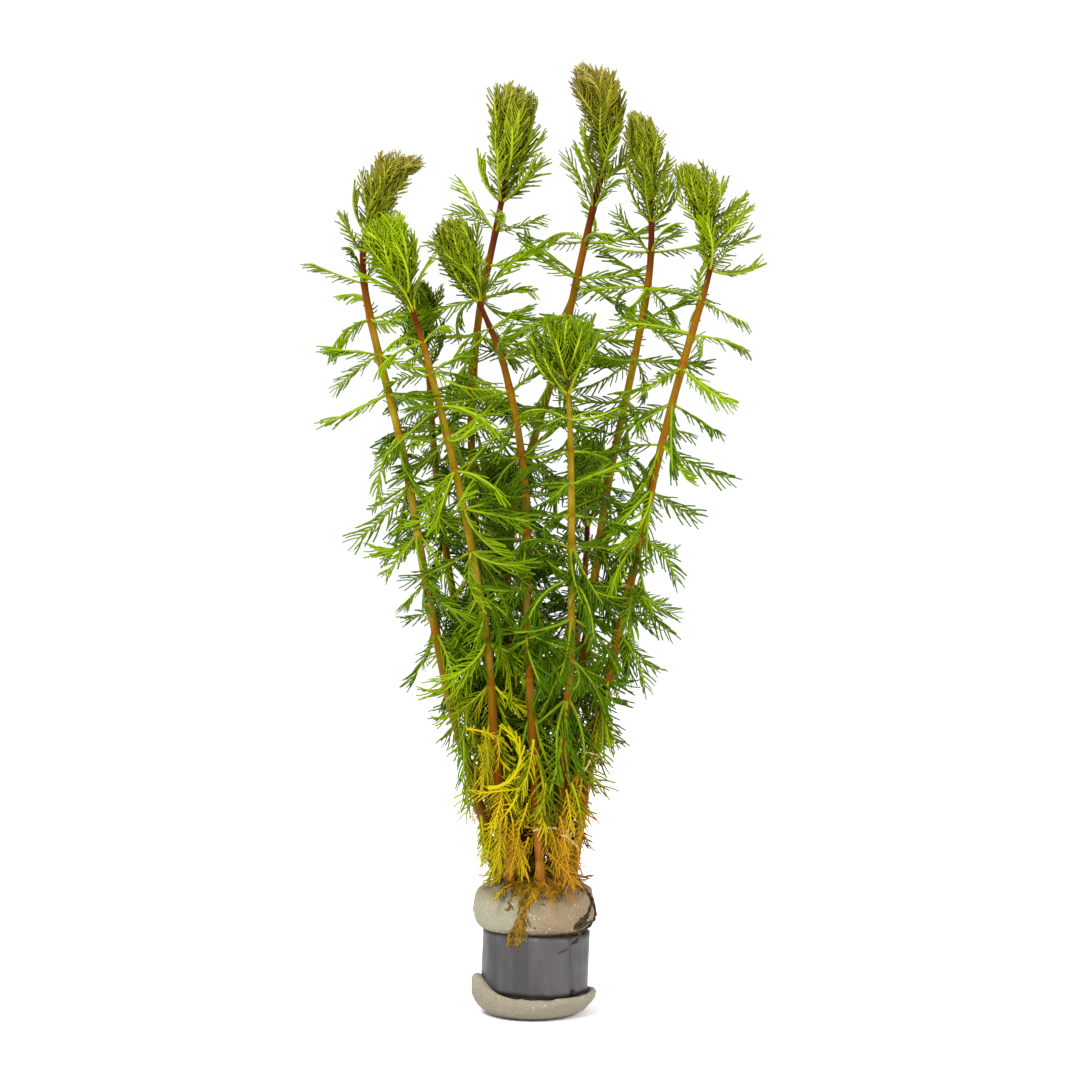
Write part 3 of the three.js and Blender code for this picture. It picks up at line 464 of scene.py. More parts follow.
# Colours of the leaves, stems, foam and metal: name, what it is for and the colour
COLOURS = {
    "crown_green": ("Youngest leaves", (0.175, 0.26, 0.002)),
    "crown_tan": ("Crown leaves that have turned", (0.16, 0.118, 0.012)),
    # Painted shade for the leaf feet inside a crown
    "crown_shade": ("Leaf feet inside a crown", (0.03, 0.045, 0.001)),
    "leaf_green": ("Grown leaves in the light", (0.118, 0.205, 0.001)),
    "deep_green": ("Darkest grown leaves", (0.043, 0.093, 0.0005)),
    "lime": ("Palest grown leaves", (0.2, 0.29, 0.003)),
    "crown_tip": ("Pale leaf ends at the top of a tan crown", (0.3, 0.24, 0.07)),
    "midrib": ("Midrib of a leaf", (0.36, 0.4, 0.02)),
    "dying_yellow": ("Leaves that turn yellow", (0.42, 0.34, 0.002)),
    "dying_gold": ("Leaves that turn gold", (0.33, 0.16, 0.007)),
    "dead_brown": ("Dead leaves by the collar", (0.12, 0.05, 0.004)),
    "bleached": ("Bare ribs that have lost their colour", (0.46, 0.35, 0.13)),
    "leaf_spot": ("Dark spots on a leaf", (0.02, 0.05, 0.0)),
    "stem_maroon": ("Stem in the crown", (0.035, 0.0056, 0.0014)),
    "stem_red": ("Stem under the crown", (0.07, 0.0098, 0.001)),
    "stem_orange": ("Stem at mid height", (0.18, 0.0612, 0.0009)),
    "stem_tan": ("Stem towards its foot", (0.21, 0.11, 0.002)),
    # Paler tan for the foot's ridges and for the middle of each stretch between nodes, where it is partly a
    # painted highlight
    "stem_pale": ("Middle of a stretch between nodes", (0.36, 0.19, 0.04)),
    "stem_rust": ("Stretch between nodes just above the lower one", (0.16, 0.035, 0.002)),
    "stem_brown": ("Stem low in the bunch", (0.13, 0.034, 0.0008)),
    "stem_olive": ("Stem just below a node", (0.2, 0.17, 0.003)),
    "stem_foot": ("Stem where it enters the foam", (0.2736, 0.0874, 0.0076)),
    "foam_green": ("Foam on the left", (0.23, 0.215, 0.145)),
    "foam_pink": ("Foam on the right", (0.185, 0.13, 0.068)),
    "foam_cream": ("Foam below the band", (0.185, 0.16, 0.112)),
    "foam_stain": ("Plant stain in the foam", (0.12, 0.085, 0.03)),
    # Painted glint: the bright colour of small spots that stand in for light sparkling on the foam
    "foam_glint": ("Wet cell walls in the foam", (0.42, 0.4, 0.33)),
    "metal_dark": ("Dull metal", (0.038, 0.035, 0.036)),
    "metal_light": ("Rubbed metal", (0.062, 0.058, 0.059)),
    "metal_violet": ("Tarnished metal", (0.047, 0.039, 0.045)),
    "decay": ("Black decayed matter", (0.008, 0.007, 0.006)),
    "scrap_gold": ("Dead leaf scrap", (0.22, 0.125, 0.008)),
    "scrap_brown": ("Darker dead leaf scrap", (0.06, 0.033, 0.005)),
    "floor": ("Pale floor", (0.97, 0.97, 0.97)),
}


def smoothstep(low, high, value):
    t = min(max((value - low) / (high - low), 0), 1)
    return t * t * (3 - 2 * t)


def blend(a, b, share):
    return a + (b - a) * share


def scatter(i, j):
    """A repeatable number between 0 and 1."""
    wave = math.sin(i * 127.1 + j * 311.7) * 43758.5453
    return wave - math.floor(wave)


def drawn(least, spread, i, j):
    """A repeatable number from least to least and spread."""
    return least + spread * scatter(i, j)


def polar(angle, radius, height):
    turned = math.radians(angle)
    return Vector((radius * math.cos(turned), radius * math.sin(turned), height))


class Value:
    """What a socket gives, to reckon with."""

    def __init__(self, wires, socket):
        self.wires, self.socket = wires, socket

    def math(self, operation, *values):
        return self.wires.out("ShaderNodeMath", dict(enumerate(values)), operation=operation)

    def __add__(self, other):
        return self.math("ADD", self, other)

    def __radd__(self, other):
        return self.math("ADD", other, self)

    def __sub__(self, other):
        return self.math("SUBTRACT", self, other)

    def __rsub__(self, other):
        return self.math("SUBTRACT", other, self)

    def __mul__(self, other):
        return self.math("MULTIPLY", self, other)

    def __truediv__(self, other):
        return self.math("DIVIDE", self, other)

    def sine(self):
        return self.math("SINE", self)

    def cosine(self):
        return self.math("COSINE", self)

    def clamped(self):
        self.socket.node.use_clamp = True
        return self

    def eased(self, low, high, to_low=0.0, to_high=1.0):
        """This between low and high, eased, as a number between to_low and to_high."""
        given = {"Value": self, "From Min": low, "From Max": high, "To Min": to_low, "To Max": to_high}
        return self.wires.out("ShaderNodeMapRange", given, interpolation_type="SMOOTHSTEP")


class Wiring:
    """Adds nodes to a tree, joins their sockets and sets the rest."""

    def __init__(self, tree):
        self.tree = tree

    def add(self, kind, given=None, **settings):
        node = self.tree.nodes.new(kind)
        for name, value in settings.items():
            setattr(node, name, value)
        for key, value in (given or {}).items():
            self.give(node, key, value)
        return node

    def out(self, kind, given=None, pick=0, **settings):
        """One output of a new node."""
        return Value(self, self.add(kind, given, **settings).outputs[pick])

    def give(self, node, key, value):
        named = [s for s in node.inputs if key in (s.identifier, s.name)]
        exact = [s for s in named if s.identifier == key]
        socket = node.inputs[key] if isinstance(key, int) else (exact or named)[0]
        if isinstance(value, Value):
            self.tree.links.new(value.socket, socket)
        else:
            socket.default_value = value

    def mix(self, share, a, b):
        """Colour a turned to colour b by share."""
        a, b = (x if isinstance(x, Value) else (*x[:3], 1) for x in (a, b))
        given = {"Factor_Float": share, "A_Color": a, "B_Color": b}
        return self.out("ShaderNodeMix", given, 2, data_type="RGBA")

    def coats(self, colour, *coats):
        """A colour under coats: each is a share and the colour that it turns to."""
        for share, over in coats:
            colour = self.mix(share, colour, over)
        return colour

    def noise(self, vector, scale, detail=3.0, roughness=0.55):
        given = {"Vector": vector, "Scale": scale, "Detail": detail, "Roughness": roughness}
        return self.out("ShaderNodeTexNoise", given, "Fac")

    def bump(self, height, strength, distance):
        return self.out("ShaderNodeBump", {"Height": height, "Strength": strength, "Distance": distance})

    def where(self):
        """The place in the object, in metres."""
        return self.out("ShaderNodeTexCoord", pick="Object")

    def read(self, name, part="Fac"):
        """An attribute of the mesh, in a material."""
        return self.out("ShaderNodeAttribute", pick=part, attribute_name=name)

    def named(self, name, kind="FLOAT"):
        """An attribute of the mesh, in a geometry tree."""
        return self.out("GeometryNodeInputNamedAttribute", {"Name": name}, data_type=kind)

    def stored(self, geometry, name, value, kind="FLOAT"):
        given = {"Geometry": geometry, "Name": name, "Value": value}
        return self.out("GeometryNodeStoreNamedAttribute", given, data_type=kind, domain="POINT")

    def factor(self):
        return self.out("GeometryNodeSplineParameter", pick="Factor")

    def any_number(self, low, high, seed):
        given = {"Min_001": low, "Max_001": high, "Seed": seed}
        return self.out("FunctionNodeRandomValue", given, 1, data_type="FLOAT")

    def aimed(self, axis, given, **settings):
        return self.out("FunctionNodeAlignRotationToVector", given, axis=axis, **settings)

    def ring(self, sides):
        return self.out("GeometryNodeCurvePrimitiveCircle", {"Resolution": sides, "Radius": 1.0})

    def tube(self, curve, ring, scale):
        given = {"Curve": curve, "Profile Curve": ring, "Scale": scale, "Fill Caps": True}
        return self.out("GeometryNodeCurveToMesh", given)


# Geometry node trees


def new_tree(name, **labels):
    """An empty tree with inputs of these kinds and labels; gives it, its wiring and its inputs' sockets."""
    tree = bpy.data.node_groups.new(name, "GeometryNodeTree")
    tree.interface.new_socket(name="Geometry", in_out="INPUT", socket_type="NodeSocketGeometry")
    for kind, names in labels.items():
        for label in names:
            tree.interface.new_socket(name=label, in_out="INPUT", socket_type=f"NodeSocket{kind}")
    tree.interface.new_socket(name="Geometry", in_out="OUTPUT", socket_type="NodeSocketGeometry")
    wires = Wiring(tree)
    inputs = wires.add("NodeGroupInput").outputs
    return tree, wires, {socket.name: Value(wires, socket) for socket in inputs}


def end_tree(wires, geometry, material):
    """Realizes what is left of instances, smooths it, gives it its material and ends the tree."""
    real = wires.out("GeometryNodeRealizeInstances", {"Geometry": geometry})
    smooth = wires.out("GeometryNodeSetShadeSmooth", {"Geometry": real})
    worn = wires.out("GeometryNodeSetMaterial", {"Geometry": smooth, "Material": material})
    wires.add("NodeGroupOutput", {"Geometry": worn})


def leaf_tree():
    """A feather leaf: a bent midrib with pairs of thread leaflets, which get shorter towards its tip."""
    tree, wires, given = new_tree(
        "Feather leaf", Int=("Pairs", "Seed"), Material=("Material",),
        Float=("Length", "Leaflet length", "Leaflet angle", "Thread", "Bend", "Lean", "Dip"))
    line = wires.out("GeometryNodeCurvePrimitiveLine", {"Start": (0, 0, 0), "End": (1, 0, 0)})
    line = wires.out("GeometryNodeResampleCurve", {"Curve": line, "Count": RIB_POINTS})
    along = wires.factor()
    turn = given["Bend"] * along
    reach = given["Length"] / given["Bend"]
    upward = (turn.cosine() - 1.0) * reach
    place = wires.out("ShaderNodeCombineXYZ", {
        "X": turn.sine() * reach, "Y": upward * given["Lean"].sine(), "Z": upward * given["Lean"].cosine()})
    rib = wires.out("GeometryNodeSetPosition", {"Geometry": line, "Position": place})
    rib = wires.stored(rib, "along", along)
    start, end = LEAFLETS_ALONG
    comb = wires.out("GeometryNodeTrimCurve", {"Curve": rib, "Start": start, "End": end}, mode="FACTOR")
    points = wires.add("GeometryNodeCurveToPoints", {"Curve": comb, "Count": given["Pairs"]}, mode="COUNT")
    points, tangents = (Value(wires, points.outputs[name]) for name in ("Points", "Tangent"))
    place_along = wires.named("along")
    envelope = wires.add("ShaderNodeFloatCurve", {"Value": place_along})
    curve = envelope.mapping.curves[0]
    curve.points[0].location, *middle, curve.points[1].location = LEAFLET_LENGTHS
    for point in middle:
        curve.points.new(*point)
    envelope = Value(wires, envelope.outputs[0])
    lean = wires.aimed("X", {"Vector": tangents})
    angle = given["Leaflet angle"] * (1.2 - place_along * 0.5)
    parts = [wires.tube(rib, wires.ring(4), given["Thread"] * (1.25 - along * 0.6))]
    for side, shift in ((1, 11), (-1, 12)):
        seed = given["Seed"] + shift
        dip = given["Dip"] + wires.any_number(-DIP_SPREAD, DIP_SPREAD, seed + 20)
        open_to = (angle + wires.any_number(-ANGLE_SPREAD, ANGLE_SPREAD, seed)) * side
        spin = wires.out("FunctionNodeEulerToRotation", {
            "Euler": wires.out("ShaderNodeCombineXYZ", {"Y": dip, "Z": open_to})})
        aim = wires.out("FunctionNodeRotateRotation", {
            "Rotation": lean, "Rotate By": spin}, rotation_space="LOCAL")
        thread = wires.out("GeometryNodeCurveQuadraticBezier", {
            "Resolution": 2, "Start": (0, 0, 0), "Middle": (0.5, 0, 0.02), "End": (0.96, -0.16 * side, -0.05)})
        out = wires.factor()
        thread = wires.stored(thread, "thread", out)
        thin = given["Thread"] / given["Leaflet length"] * (0.9 - out * 0.25)
        leaflet = wires.tube(thread, wires.ring(3), thin)
        long = envelope * (given["Leaflet length"] * wires.any_number(*LEAFLET_SIZES, seed + 40))
        parts.append(wires.out("GeometryNodeInstanceOnPoints", {
            "Points": points, "Instance": leaflet, "Rotation": aim, "Scale": long}))
    joined = wires.add("GeometryNodeJoinGeometry")
    for part in parts:
        wires.give(joined, 0, part)
    end_tree(wires, Value(wires, joined.outputs[0]), given["Material"])
    return tree


def whorl_tree():
    """Sets a leaf from the patterns on every point, turned to the point's heading and upper side."""
    tree, wires, given = new_tree("Leaf whorls", Collection=("Patterns",), Material=("Material",))
    patterns = wires.out("GeometryNodeCollectionInfo", {
        "Collection": given["Patterns"], "Separate Children": True, "Reset Children": True})
    ahead = wires.aimed("X", {"Vector": wires.named("heading", "FLOAT_VECTOR")})
    upper = wires.named("upper", "FLOAT_VECTOR")
    upright = wires.aimed("Z", {"Rotation": ahead, "Vector": upper}, pivot_axis="X")
    leaves = wires.out("GeometryNodeInstanceOnPoints", {
        "Points": given["Geometry"], "Instance": patterns, "Pick Instance": True,
        "Instance Index": wires.named("pattern", "INT"), "Rotation": upright, "Scale": wires.named("size")})
    end_tree(wires, leaves, given["Material"])
    return tree


def stalk_tree():
    """A tube along a line of points, as thick as each says, with a skin coordinate round and along it."""
    tree, wires, given = new_tree("Stalk", Int=("Sides",), Float=("Roughness",), Material=("Material",))
    curve = wires.out("GeometryNodeMeshToCurve", {"Mesh": given["Geometry"]})
    ring = wires.stored(wires.ring(given["Sides"]), "around", wires.factor())
    body = wires.tube(curve, ring, wires.named("thickness"))
    full = wires.named("around") * math.tau
    skin = wires.out("ShaderNodeCombineXYZ", {
        "X": full.cosine(), "Y": full.sine(), "Z": wires.named("run") * 0.06})
    body = wires.stored(body, "skin", skin, "FLOAT_VECTOR")
    lumps = wires.noise(wires.named("skin", "FLOAT_VECTOR"), 2.2) - 0.5
    push = wires.out("ShaderNodeVectorMath", {
        0: wires.out("GeometryNodeInputNormal"), "Scale": lumps * given["Roughness"]}, operation="SCALE")
    body = wires.out("GeometryNodeSetPosition", {"Geometry": body, "Offset": push})
    end_tree(wires, body, given["Material"])
    return tree


def grown(tree, mesh, values):
    """The plain mesh that a tree makes out of this one."""
    holder = bpy.data.objects.new(f"{tree.name} plan", mesh)
    modifier = holder.modifiers.new("growth", "NODES")
    modifier.node_group = tree
    for item in tree.interface.items_tree:
        if item.in_out == "INPUT" and item.name in values:
            modifier[item.identifier] = values[item.name]
    bpy.context.scene.collection.objects.link(holder)
    depsgraph = bpy.context.evaluated_depsgraph_get()
    made = bpy.data.meshes.new_from_object(
        holder.evaluated_get(depsgraph), preserve_all_data_layers=True, depsgraph=depsgraph)
    bpy.data.objects.remove(holder)
    bpy.data.meshes.remove(mesh)
    return made


def plan(rows, joined=False):
    """A mesh of points out of rows of values, where all but the place are attributes of the point."""
    mesh = bpy.data.meshes.new("plan")
    edges = [(i, i + 1) for i in range(len(rows) - 1)] if joined else []
    mesh.from_pydata([tuple(row["place"]) for row in rows], edges, [])
    for label in rows[0]:
        values = [row[label] for row in rows]
        if label == "place":
            continue
        if isinstance(values[0], Vector):
            layer = mesh.attributes.new(label, "FLOAT_VECTOR", "POINT")
            layer.data.foreach_set("vector", [x for v in values for x in v])
        else:
            layer = mesh.attributes.new(label, "INT" if label == "pattern" else "FLOAT", "POINT")
            layer.data.foreach_set("value", values)
    return mesh


def surface_mesh(name, rows):
    """Closed rows of points in metres joined into a skin, with a fan over its first and last row."""
    across = len(rows[0])
    places = [p for row in rows for p in row]
    faces = []
    for r in range(len(rows) - 1):
        for c in range(across):
            n = (c + 1) % across
            faces.append((r * across + c, r * across + n, (r + 1) * across + n, (r + 1) * across + c))
    for row, order in ((0, 1), (len(rows) - 1, -1)):
        places.append(sum((Vector(p) for p in rows[row]), Vector()) / across)
        top = len(places) - 1
        for c in range(across):
            pair = (row * across + (c + 1) % across, row * across + c)
            faces.append((top, *pair[::order]))
    mesh = bpy.data.meshes.new(name)
    mesh.from_pydata([tuple(p) for p in places], [], faces)
    mesh.validate()
    mesh.shade_smooth()
    return mesh


def piece(name, mesh, replaced, material=None):
    """A finished piece of the object, riding on its body."""
    mesh.name = name
    made = bpy.data.objects.new(name, mesh)
    bpy.context.scene.collection.objects.link(made)
    if material is not None:
        mesh.materials.clear()
        mesh.materials.append(material)
    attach(made, BODY)
    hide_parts(replaced)
    return made


# Stem lines


class Line:
    """A smooth line through points in millimetres, read by its length."""

    STEPS = 24

    def __init__(self, points):
        p = [Vector(x) for x in points]
        p = [2 * p[0] - p[1], *p, 2 * p[-1] - p[-2]]
        self.places = [p[1].copy()]
        for i in range(1, len(p) - 2):
            for step in range(1, self.STEPS + 1):
                self.places.append(self.between(*p[i - 1:i + 3], step / self.STEPS))
        self.lengths = [0.0]
        for a, b in zip(self.places, self.places[1:]):
            self.lengths.append(self.lengths[-1] + (b - a).length)
        self.length = self.lengths[-1]

    @staticmethod
    def between(a, b, c, d, t):
        m, n = (c - a) / 2, (d - b) / 2
        return (2 * b - 2 * c + m + n) * t ** 3 + (-3 * b + 3 * c - 2 * m - n) * t ** 2 + m * t + b

    def at(self, run):
        run = min(max(run, 0.0), self.length)
        low, high = 0, len(self.lengths) - 1
        while high - low > 1:
            middle = (low + high) // 2
            if self.lengths[middle] <= run:
                low = middle
            else:
                high = middle
        span = self.lengths[high] - self.lengths[low]
        return self.places[low].lerp(self.places[high], (run - self.lengths[low]) / span)

    def heading(self, run):
        return (self.at(run + 0.3) - self.at(run - 0.3)).normalized()


def crown_age(stem, from_tip):
    """Distance from the tip against the length of the stem's crown."""
    return from_tip / stem.crown


def internode(stem, from_tip, height):
    """Crowded in the crown, widest at mid height and a little closer near the collar."""
    wider = OPEN_GAP * smoothstep(*GAPS_OPEN, crown_age(stem, from_tip))
    wider += LATE_GAP * smoothstep(*GAPS_WIDEN, from_tip)
    return CROWN_GAP * stem.crown + wider * blend(LOW_GAP_SHARE, 1, smoothstep(*GAPS_LOW, height))


def leaf_length(stem, from_tip, height, sizes):
    young, crown, full = (x / MM for x in (sizes.young_leaf, sizes.crown_leaf, sizes.full_leaf))
    in_crown = blend(young, crown, smoothstep(*CROWN_LEAVES_GROW, crown_age(stem, from_tip))) * stem.plump
    grown_up = blend(in_crown, full, smoothstep(*LEAVES_GROW, from_tip))
    return grown_up * blend(FOOT_LEAF_SHARE, 1, smoothstep(*LEAVES_SHORT, height))


def hanging(height):
    return 1 - smoothstep(*LEAVES_HANG, height)


def leaf_spread(stem, from_tip, height, limp):
    """Degrees between a leaf's chord and its stem: erect in the crown, level, then hanging near the collar."""
    young = crown_age(stem, from_tip)
    skirt = SKIRT_ANGLE * smoothstep(*SKIRT_SPREADS, young) * (stem.crown > 1)
    in_crown = TIP_ANGLE + CROWN_ANGLE * smoothstep(*CROWN_SPREADS, young) + skirt
    in_crown += stem.open * smoothstep(*CROWN_OPENS, young)
    sinking = SINKING_ANGLE * smoothstep(*LEAVES_SINK, from_tip)
    if limp:
        sinking += LIMP_ANGLE * smoothstep(*LEAVES_GO_LIMP, from_tip) * (1 - hanging(height))
    sinking += HANGING_ANGLE * hanging(height) + FOOT_ANGLE * (1 - smoothstep(*LEAVES_FOOT, height))
    return blend(in_crown, LEVEL_ANGLE, smoothstep(*LEAVES_LEVEL, young)) + sinking


def leaf_droop(stem, from_tip, height):
    """Degrees by which a leaf's outer half hangs below its inner half."""
    open_droop = OPEN_DROOP * smoothstep(*LEAVES_DROOP, crown_age(stem, from_tip))
    return CROWN_CURL + open_droop + HANGING_DROOP * hanging(height)


Whorl = namedtuple("Whorl", "seed from_tip place along side back turn")


def whorls(stem, number):
    """Each whorl's seed, distance from the tip, place and frame."""
    line = Line(stem.line)
    length = line.length - CROWN_OVERREACH
    from_tip, index = FIRST_WHORL, 0
    while from_tip < length - TIP_CLEAR:
        place, along = line.at(length - from_tip), line.heading(length - from_tip)
        if place.z < LOWEST_WHORL:
            break
        side = Vector((0, 1, 0)).cross(along).normalized()
        turn = index * WHORL_TURN + number * STEM_TURN
        yield Whorl(number * 100 + index, from_tip, place, along, side, along.cross(side), turn)
        from_tip += internode(stem, from_tip, place.z)
        index += 1


def stem_radius(from_tip):
    crown_growth = STEM_CROWN_GROWTH * smoothstep(*STEM_THICKENS, from_tip)
    return STEM_TIP_RADIUS + crown_growth + STEM_BASE_GROWTH * smoothstep(*STEM_BASE_THICKENS, from_tip)


# Materials


def new_material(name):
    material = bpy.data.materials.new(name)
    material.use_nodes = True
    material.node_tree.nodes.clear()
    return material, Wiring(material.node_tree)


def finish_material(wires, given):
    shader = wires.out("ShaderNodeBsdfPrincipled", given)
    wires.add("ShaderNodeOutputMaterial", {"Surface": shader})


def leaf_material(colours):
    """Fresh yellow-green crowns, tan where they turn, deeper green below and gold where leaves die."""
    material, wires = new_material("milfoil leaf")
    from_tip, tint, along = wires.read("from_tip"), wires.read("tint"), wires.read("along")
    brown, dead, gold = wires.read("brown"), wires.read("dead"), wires.read("gold")
    young = from_tip.eased(55.0, 6.0)
    fresh = (young * (0.45 + wires.read("fresh") * 0.6)).clamped()
    turned = (brown * from_tip.eased(26.0, 6.0) * along.eased(-0.2, 0.75, 0.6, 1.1)).clamped()
    pale_end = from_tip.eased(10.0, 2.0) * along.eased(0.55, 1.0)
    # Painted shade: leaf feet inside a crown are darkened towards crown_shade for depth
    inner = along.eased(0.65, 0.05) * from_tip.eased(34.0, 20.0, 0.0, 0.75)
    rib = (1.0 - wires.read("thread") * 6.0).clamped() * ((1.0 - brown * 0.55) * (0.35 + young * 0.4))
    green = wires.coats(
        colours.deep_green, (tint.eased(0.1, 0.95), colours.leaf_green), (fresh, colours.crown_green),
        (tint.eased(0.55, 1.0) * 0.45, colours.lime), (turned, colours.crown_tan),
        (pale_end * brown, colours.crown_tip), (inner, colours.crown_shade), (rib, colours.midrib))
    yellow = wires.coats(
        colours.dying_yellow, (gold, colours.dying_gold), (dead.eased(0.75, 1.0), colours.dead_brown))
    worn = wires.coats(
        green, (dead.eased(0.15, 0.6), yellow), (gold.eased(BLEACHED - 0.5, BLEACHED), colours.bleached))
    spotted = wires.noise(wires.where(), 420.0).eased(0.35, 0.75, 0.0, 0.3)
    worn = wires.mix(spotted, worn, wires.mix(0.5, worn, colours.leaf_spot))
    bump = wires.bump(wires.noise(wires.where(), 2600.0), 0.25, 0.0001)
    finish_material(wires, {
        "Base Color": worn, "Roughness": 0.24, "Normal": bump, "Specular IOR Level": 0.03})
    return material


def stalk_material(colours):
    """Maroon at the crown, red-brown, orange-brown, then tan, and paler olive below each node."""
    material, wires = new_material("milfoil stem")
    gap, age, olive = wires.read("node_gap"), wires.read("age"), wires.read("olive")
    low, foot = wires.read("low"), wires.read("foot")
    mottle = wires.noise(wires.where(), 60.0, 2.0)
    streak = wires.out("ShaderNodeMapping", {
        "Vector": wires.read("skin", "Vector"), "Scale": (2.2, 2.2, 0.35)})
    streaks = wires.noise(streak, 3.4, 4.0, 0.65)
    high, grown_up = 1.0 - low, age.eased(1.1, 1.5)
    tanned = (olive * 1.2 + 0.25).clamped() * age.eased(1.15, 1.7)
    under_node = gap.eased(0.3, 0.0) * age.eased(0.8, 1.5, 0.05, 0.6) * high
    # Paler middle of each stretch between nodes: partly the stem's own tint, partly a painted highlight
    between = gap.eased(0.1, 0.35) * gap.eased(0.75, 0.5) * high * mottle.eased(0.45, 0.6, 0.0, 0.5) * grown_up
    above_node = gap.eased(0.6, 1.0) * mottle.eased(0.6, 0.4, 0.3, 0.75) * grown_up
    ring = (gap.eased(0.03, 0.01) + gap.eased(0.965, 0.985)).clamped()
    colour = wires.coats(
        colours.stem_maroon, (age.eased(0.3, 0.75), colours.stem_red),
        (age.eased(0.8, 1.15), colours.stem_orange), (tanned, colours.stem_tan),
        (olive * mottle.eased(0.3, 0.6, 0.2, 1.0) * grown_up, colours.stem_olive),
        (low * 0.9, colours.stem_brown), (under_node, colours.stem_olive),
        (streaks.eased(0.4, 0.7, 0.0, 0.5), colours.stem_red), (foot * 0.65, colours.stem_foot),
        (streaks.eased(0.48, 0.56) * (foot * 0.55), colours.stem_pale), (between, colours.stem_pale),
        (above_node, colours.stem_rust), (ring * 0.6, colours.stem_maroon))
    bump = wires.bump(streaks, 0.6, 0.0004)
    finish_material(wires, {
        "Base Color": colour, "Roughness": 0.26, "Normal": bump, "Specular IOR Level": 0.03})
    return material


def spots(wires, where, scale, channel, edge, chosen):
    """Round spots in those cells of a pattern whose own random number is high."""
    cells = wires.add("ShaderNodeTexVoronoi", {"Vector": where, "Scale": scale})
    distance, colour = (Value(wires, cells.outputs[name]) for name in ("Distance", "Color"))
    number = wires.out("ShaderNodeSeparateXYZ", {0: colour}, channel)
    return distance.eased(*edge) * number.eased(*chosen)


def foam_material(colours):
    """Cream sponge foam: open cells, a green cast on one side, pink on the other, dark specks and painted
    glints.
    """
    material, wires = new_material("cream foam")
    where = wires.where()
    x, z = (wires.out("ShaderNodeSeparateXYZ", {0: where}, axis) for axis in "XZ")
    drift = wires.noise(where, 95.0, 2.0)
    grain = wires.noise(where, 1300.0, 4.0, 0.7)
    cast = (x + drift * 0.008).eased(-0.004, 0.009)
    stain = z.eased(0.0255, 0.0305) * drift.eased(0.35, 0.6, 0.35, 0.9)
    specks = spots(wires, where, 560.0, "X", (0.2, 0.1), (0.955, 0.96))
    # Painted glints: small bright spots that stand in for light sparkling on the foam
    painted_glint = spots(wires, where, 1500.0, "Y", (0.4, 0.2), (0.9, 0.92)) * 0.7
    colour = wires.coats(
        colours.foam_green, (cast, colours.foam_pink), (z.eased(0.012, 0.004), colours.foam_cream),
        (stain, colours.foam_stain), (grain.eased(0.3, 0.7, 0.0, 0.16), colours.foam_stain),
        (specks, colours.decay), (painted_glint, colours.foam_glint))
    cells = wires.out("ShaderNodeTexVoronoi", {"Vector": where, "Scale": 1900.0}, "Distance")
    bump = wires.bump(cells * 0.6 + grain, 0.8, 0.0005)
    rough = wires.noise(where, 800.0, 2.0).eased(0.6, 0.68, 0.7, 0.25)
    finish_material(wires, {
        "Base Color": colour, "Roughness": rough, "Normal": bump, "Subsurface Weight": 0.12,
        "Subsurface Radius": (0.004, 0.003, 0.002), "Subsurface Scale": 0.5})
    return material


def band_material(colours):
    """Dull soft metal: rubbed soft streaks down the strip, fine scratches and a dark tarnish at its edges."""
    material, wires = new_material("dull soft metal")
    where = wires.where()
    tall = wires.out("ShaderNodeMapping", {"Vector": where, "Scale": (1.0, 1.0, 0.12)})
    fine = wires.noise(tall, 1500.0, 4.0, 0.65)
    blot = wires.noise(where, 230.0, 4.0, 0.6)
    colour = wires.coats(
        colours.metal_dark, (wires.noise(tall, 190.0, 2.0).eased(0.38, 0.62), colours.metal_light),
        (blot.eased(0.45, 0.7, 0.0, 0.4), colours.metal_violet),
        (wires.read("edge").eased(0.2, 1.0, 0.0, 0.55), colours.decay))
    bump = wires.bump(fine + blot * 1.5, 0.22, 0.0003)
    rough = blot.eased(0.3, 0.7, 0.42, 0.6)
    finish_material(wires, {"Base Color": colour, "Metallic": 0.55, "Roughness": rough, "Normal": bump})
    return material


def decay_material(name, first, second, roughness):
    """Dead plant matter: two browns in blotches along a limp fibre."""
    material, wires = new_material(name)
    where = wires.where()
    colour = wires.mix(wires.noise(where, 900.0, 4.0, 0.65).eased(0.35, 0.68), first, second)
    bump = wires.bump(wires.noise(where, 2200.0, 3.0), 0.6, 0.0004)
    finish_material(wires, {
        "Base Color": colour, "Roughness": roughness, "Normal": bump, "Specular IOR Level": 0.1})
    return material


def floor_material(colour):
    material, wires = new_material("pale floor")
    finish_material(wires, {"Base Color": (*colour, 1), "Roughness": 0.8})
    return material


# Settings


def length(name, description, millimetres):
    return bpy.props.FloatProperty(name=name, description=description, default=millimetres * MM, min=0.0,
                                   unit="LENGTH", subtype="DISTANCE", precision=5)


def colour(key, description, rgb):
    return bpy.props.FloatVectorProperty(name=key.replace("_", " ").capitalize(), description=description,
                                         default=rgb, min=0.0, max=1.0, size=3, subtype="COLOR")


class FoliageSettings(bpy.types.PropertyGroup):
    """Sizes of the leaves and stems."""

    young_leaf: length("Youngest leaf", "Length of the leaves at a stem's tip", 7.8)
    crown_leaf: length("Crown leaf", "Length of the leaves in a crown", 12.7)
    full_leaf: length("Full leaf", "Length of a grown leaf", 15.5)
    stem_step: length("Stem step", "Distance between the rings of a stem", 1.6)
    seed: bpy.props.IntProperty(name="Seed", description="Seed of the leaflets' scatter", default=7)


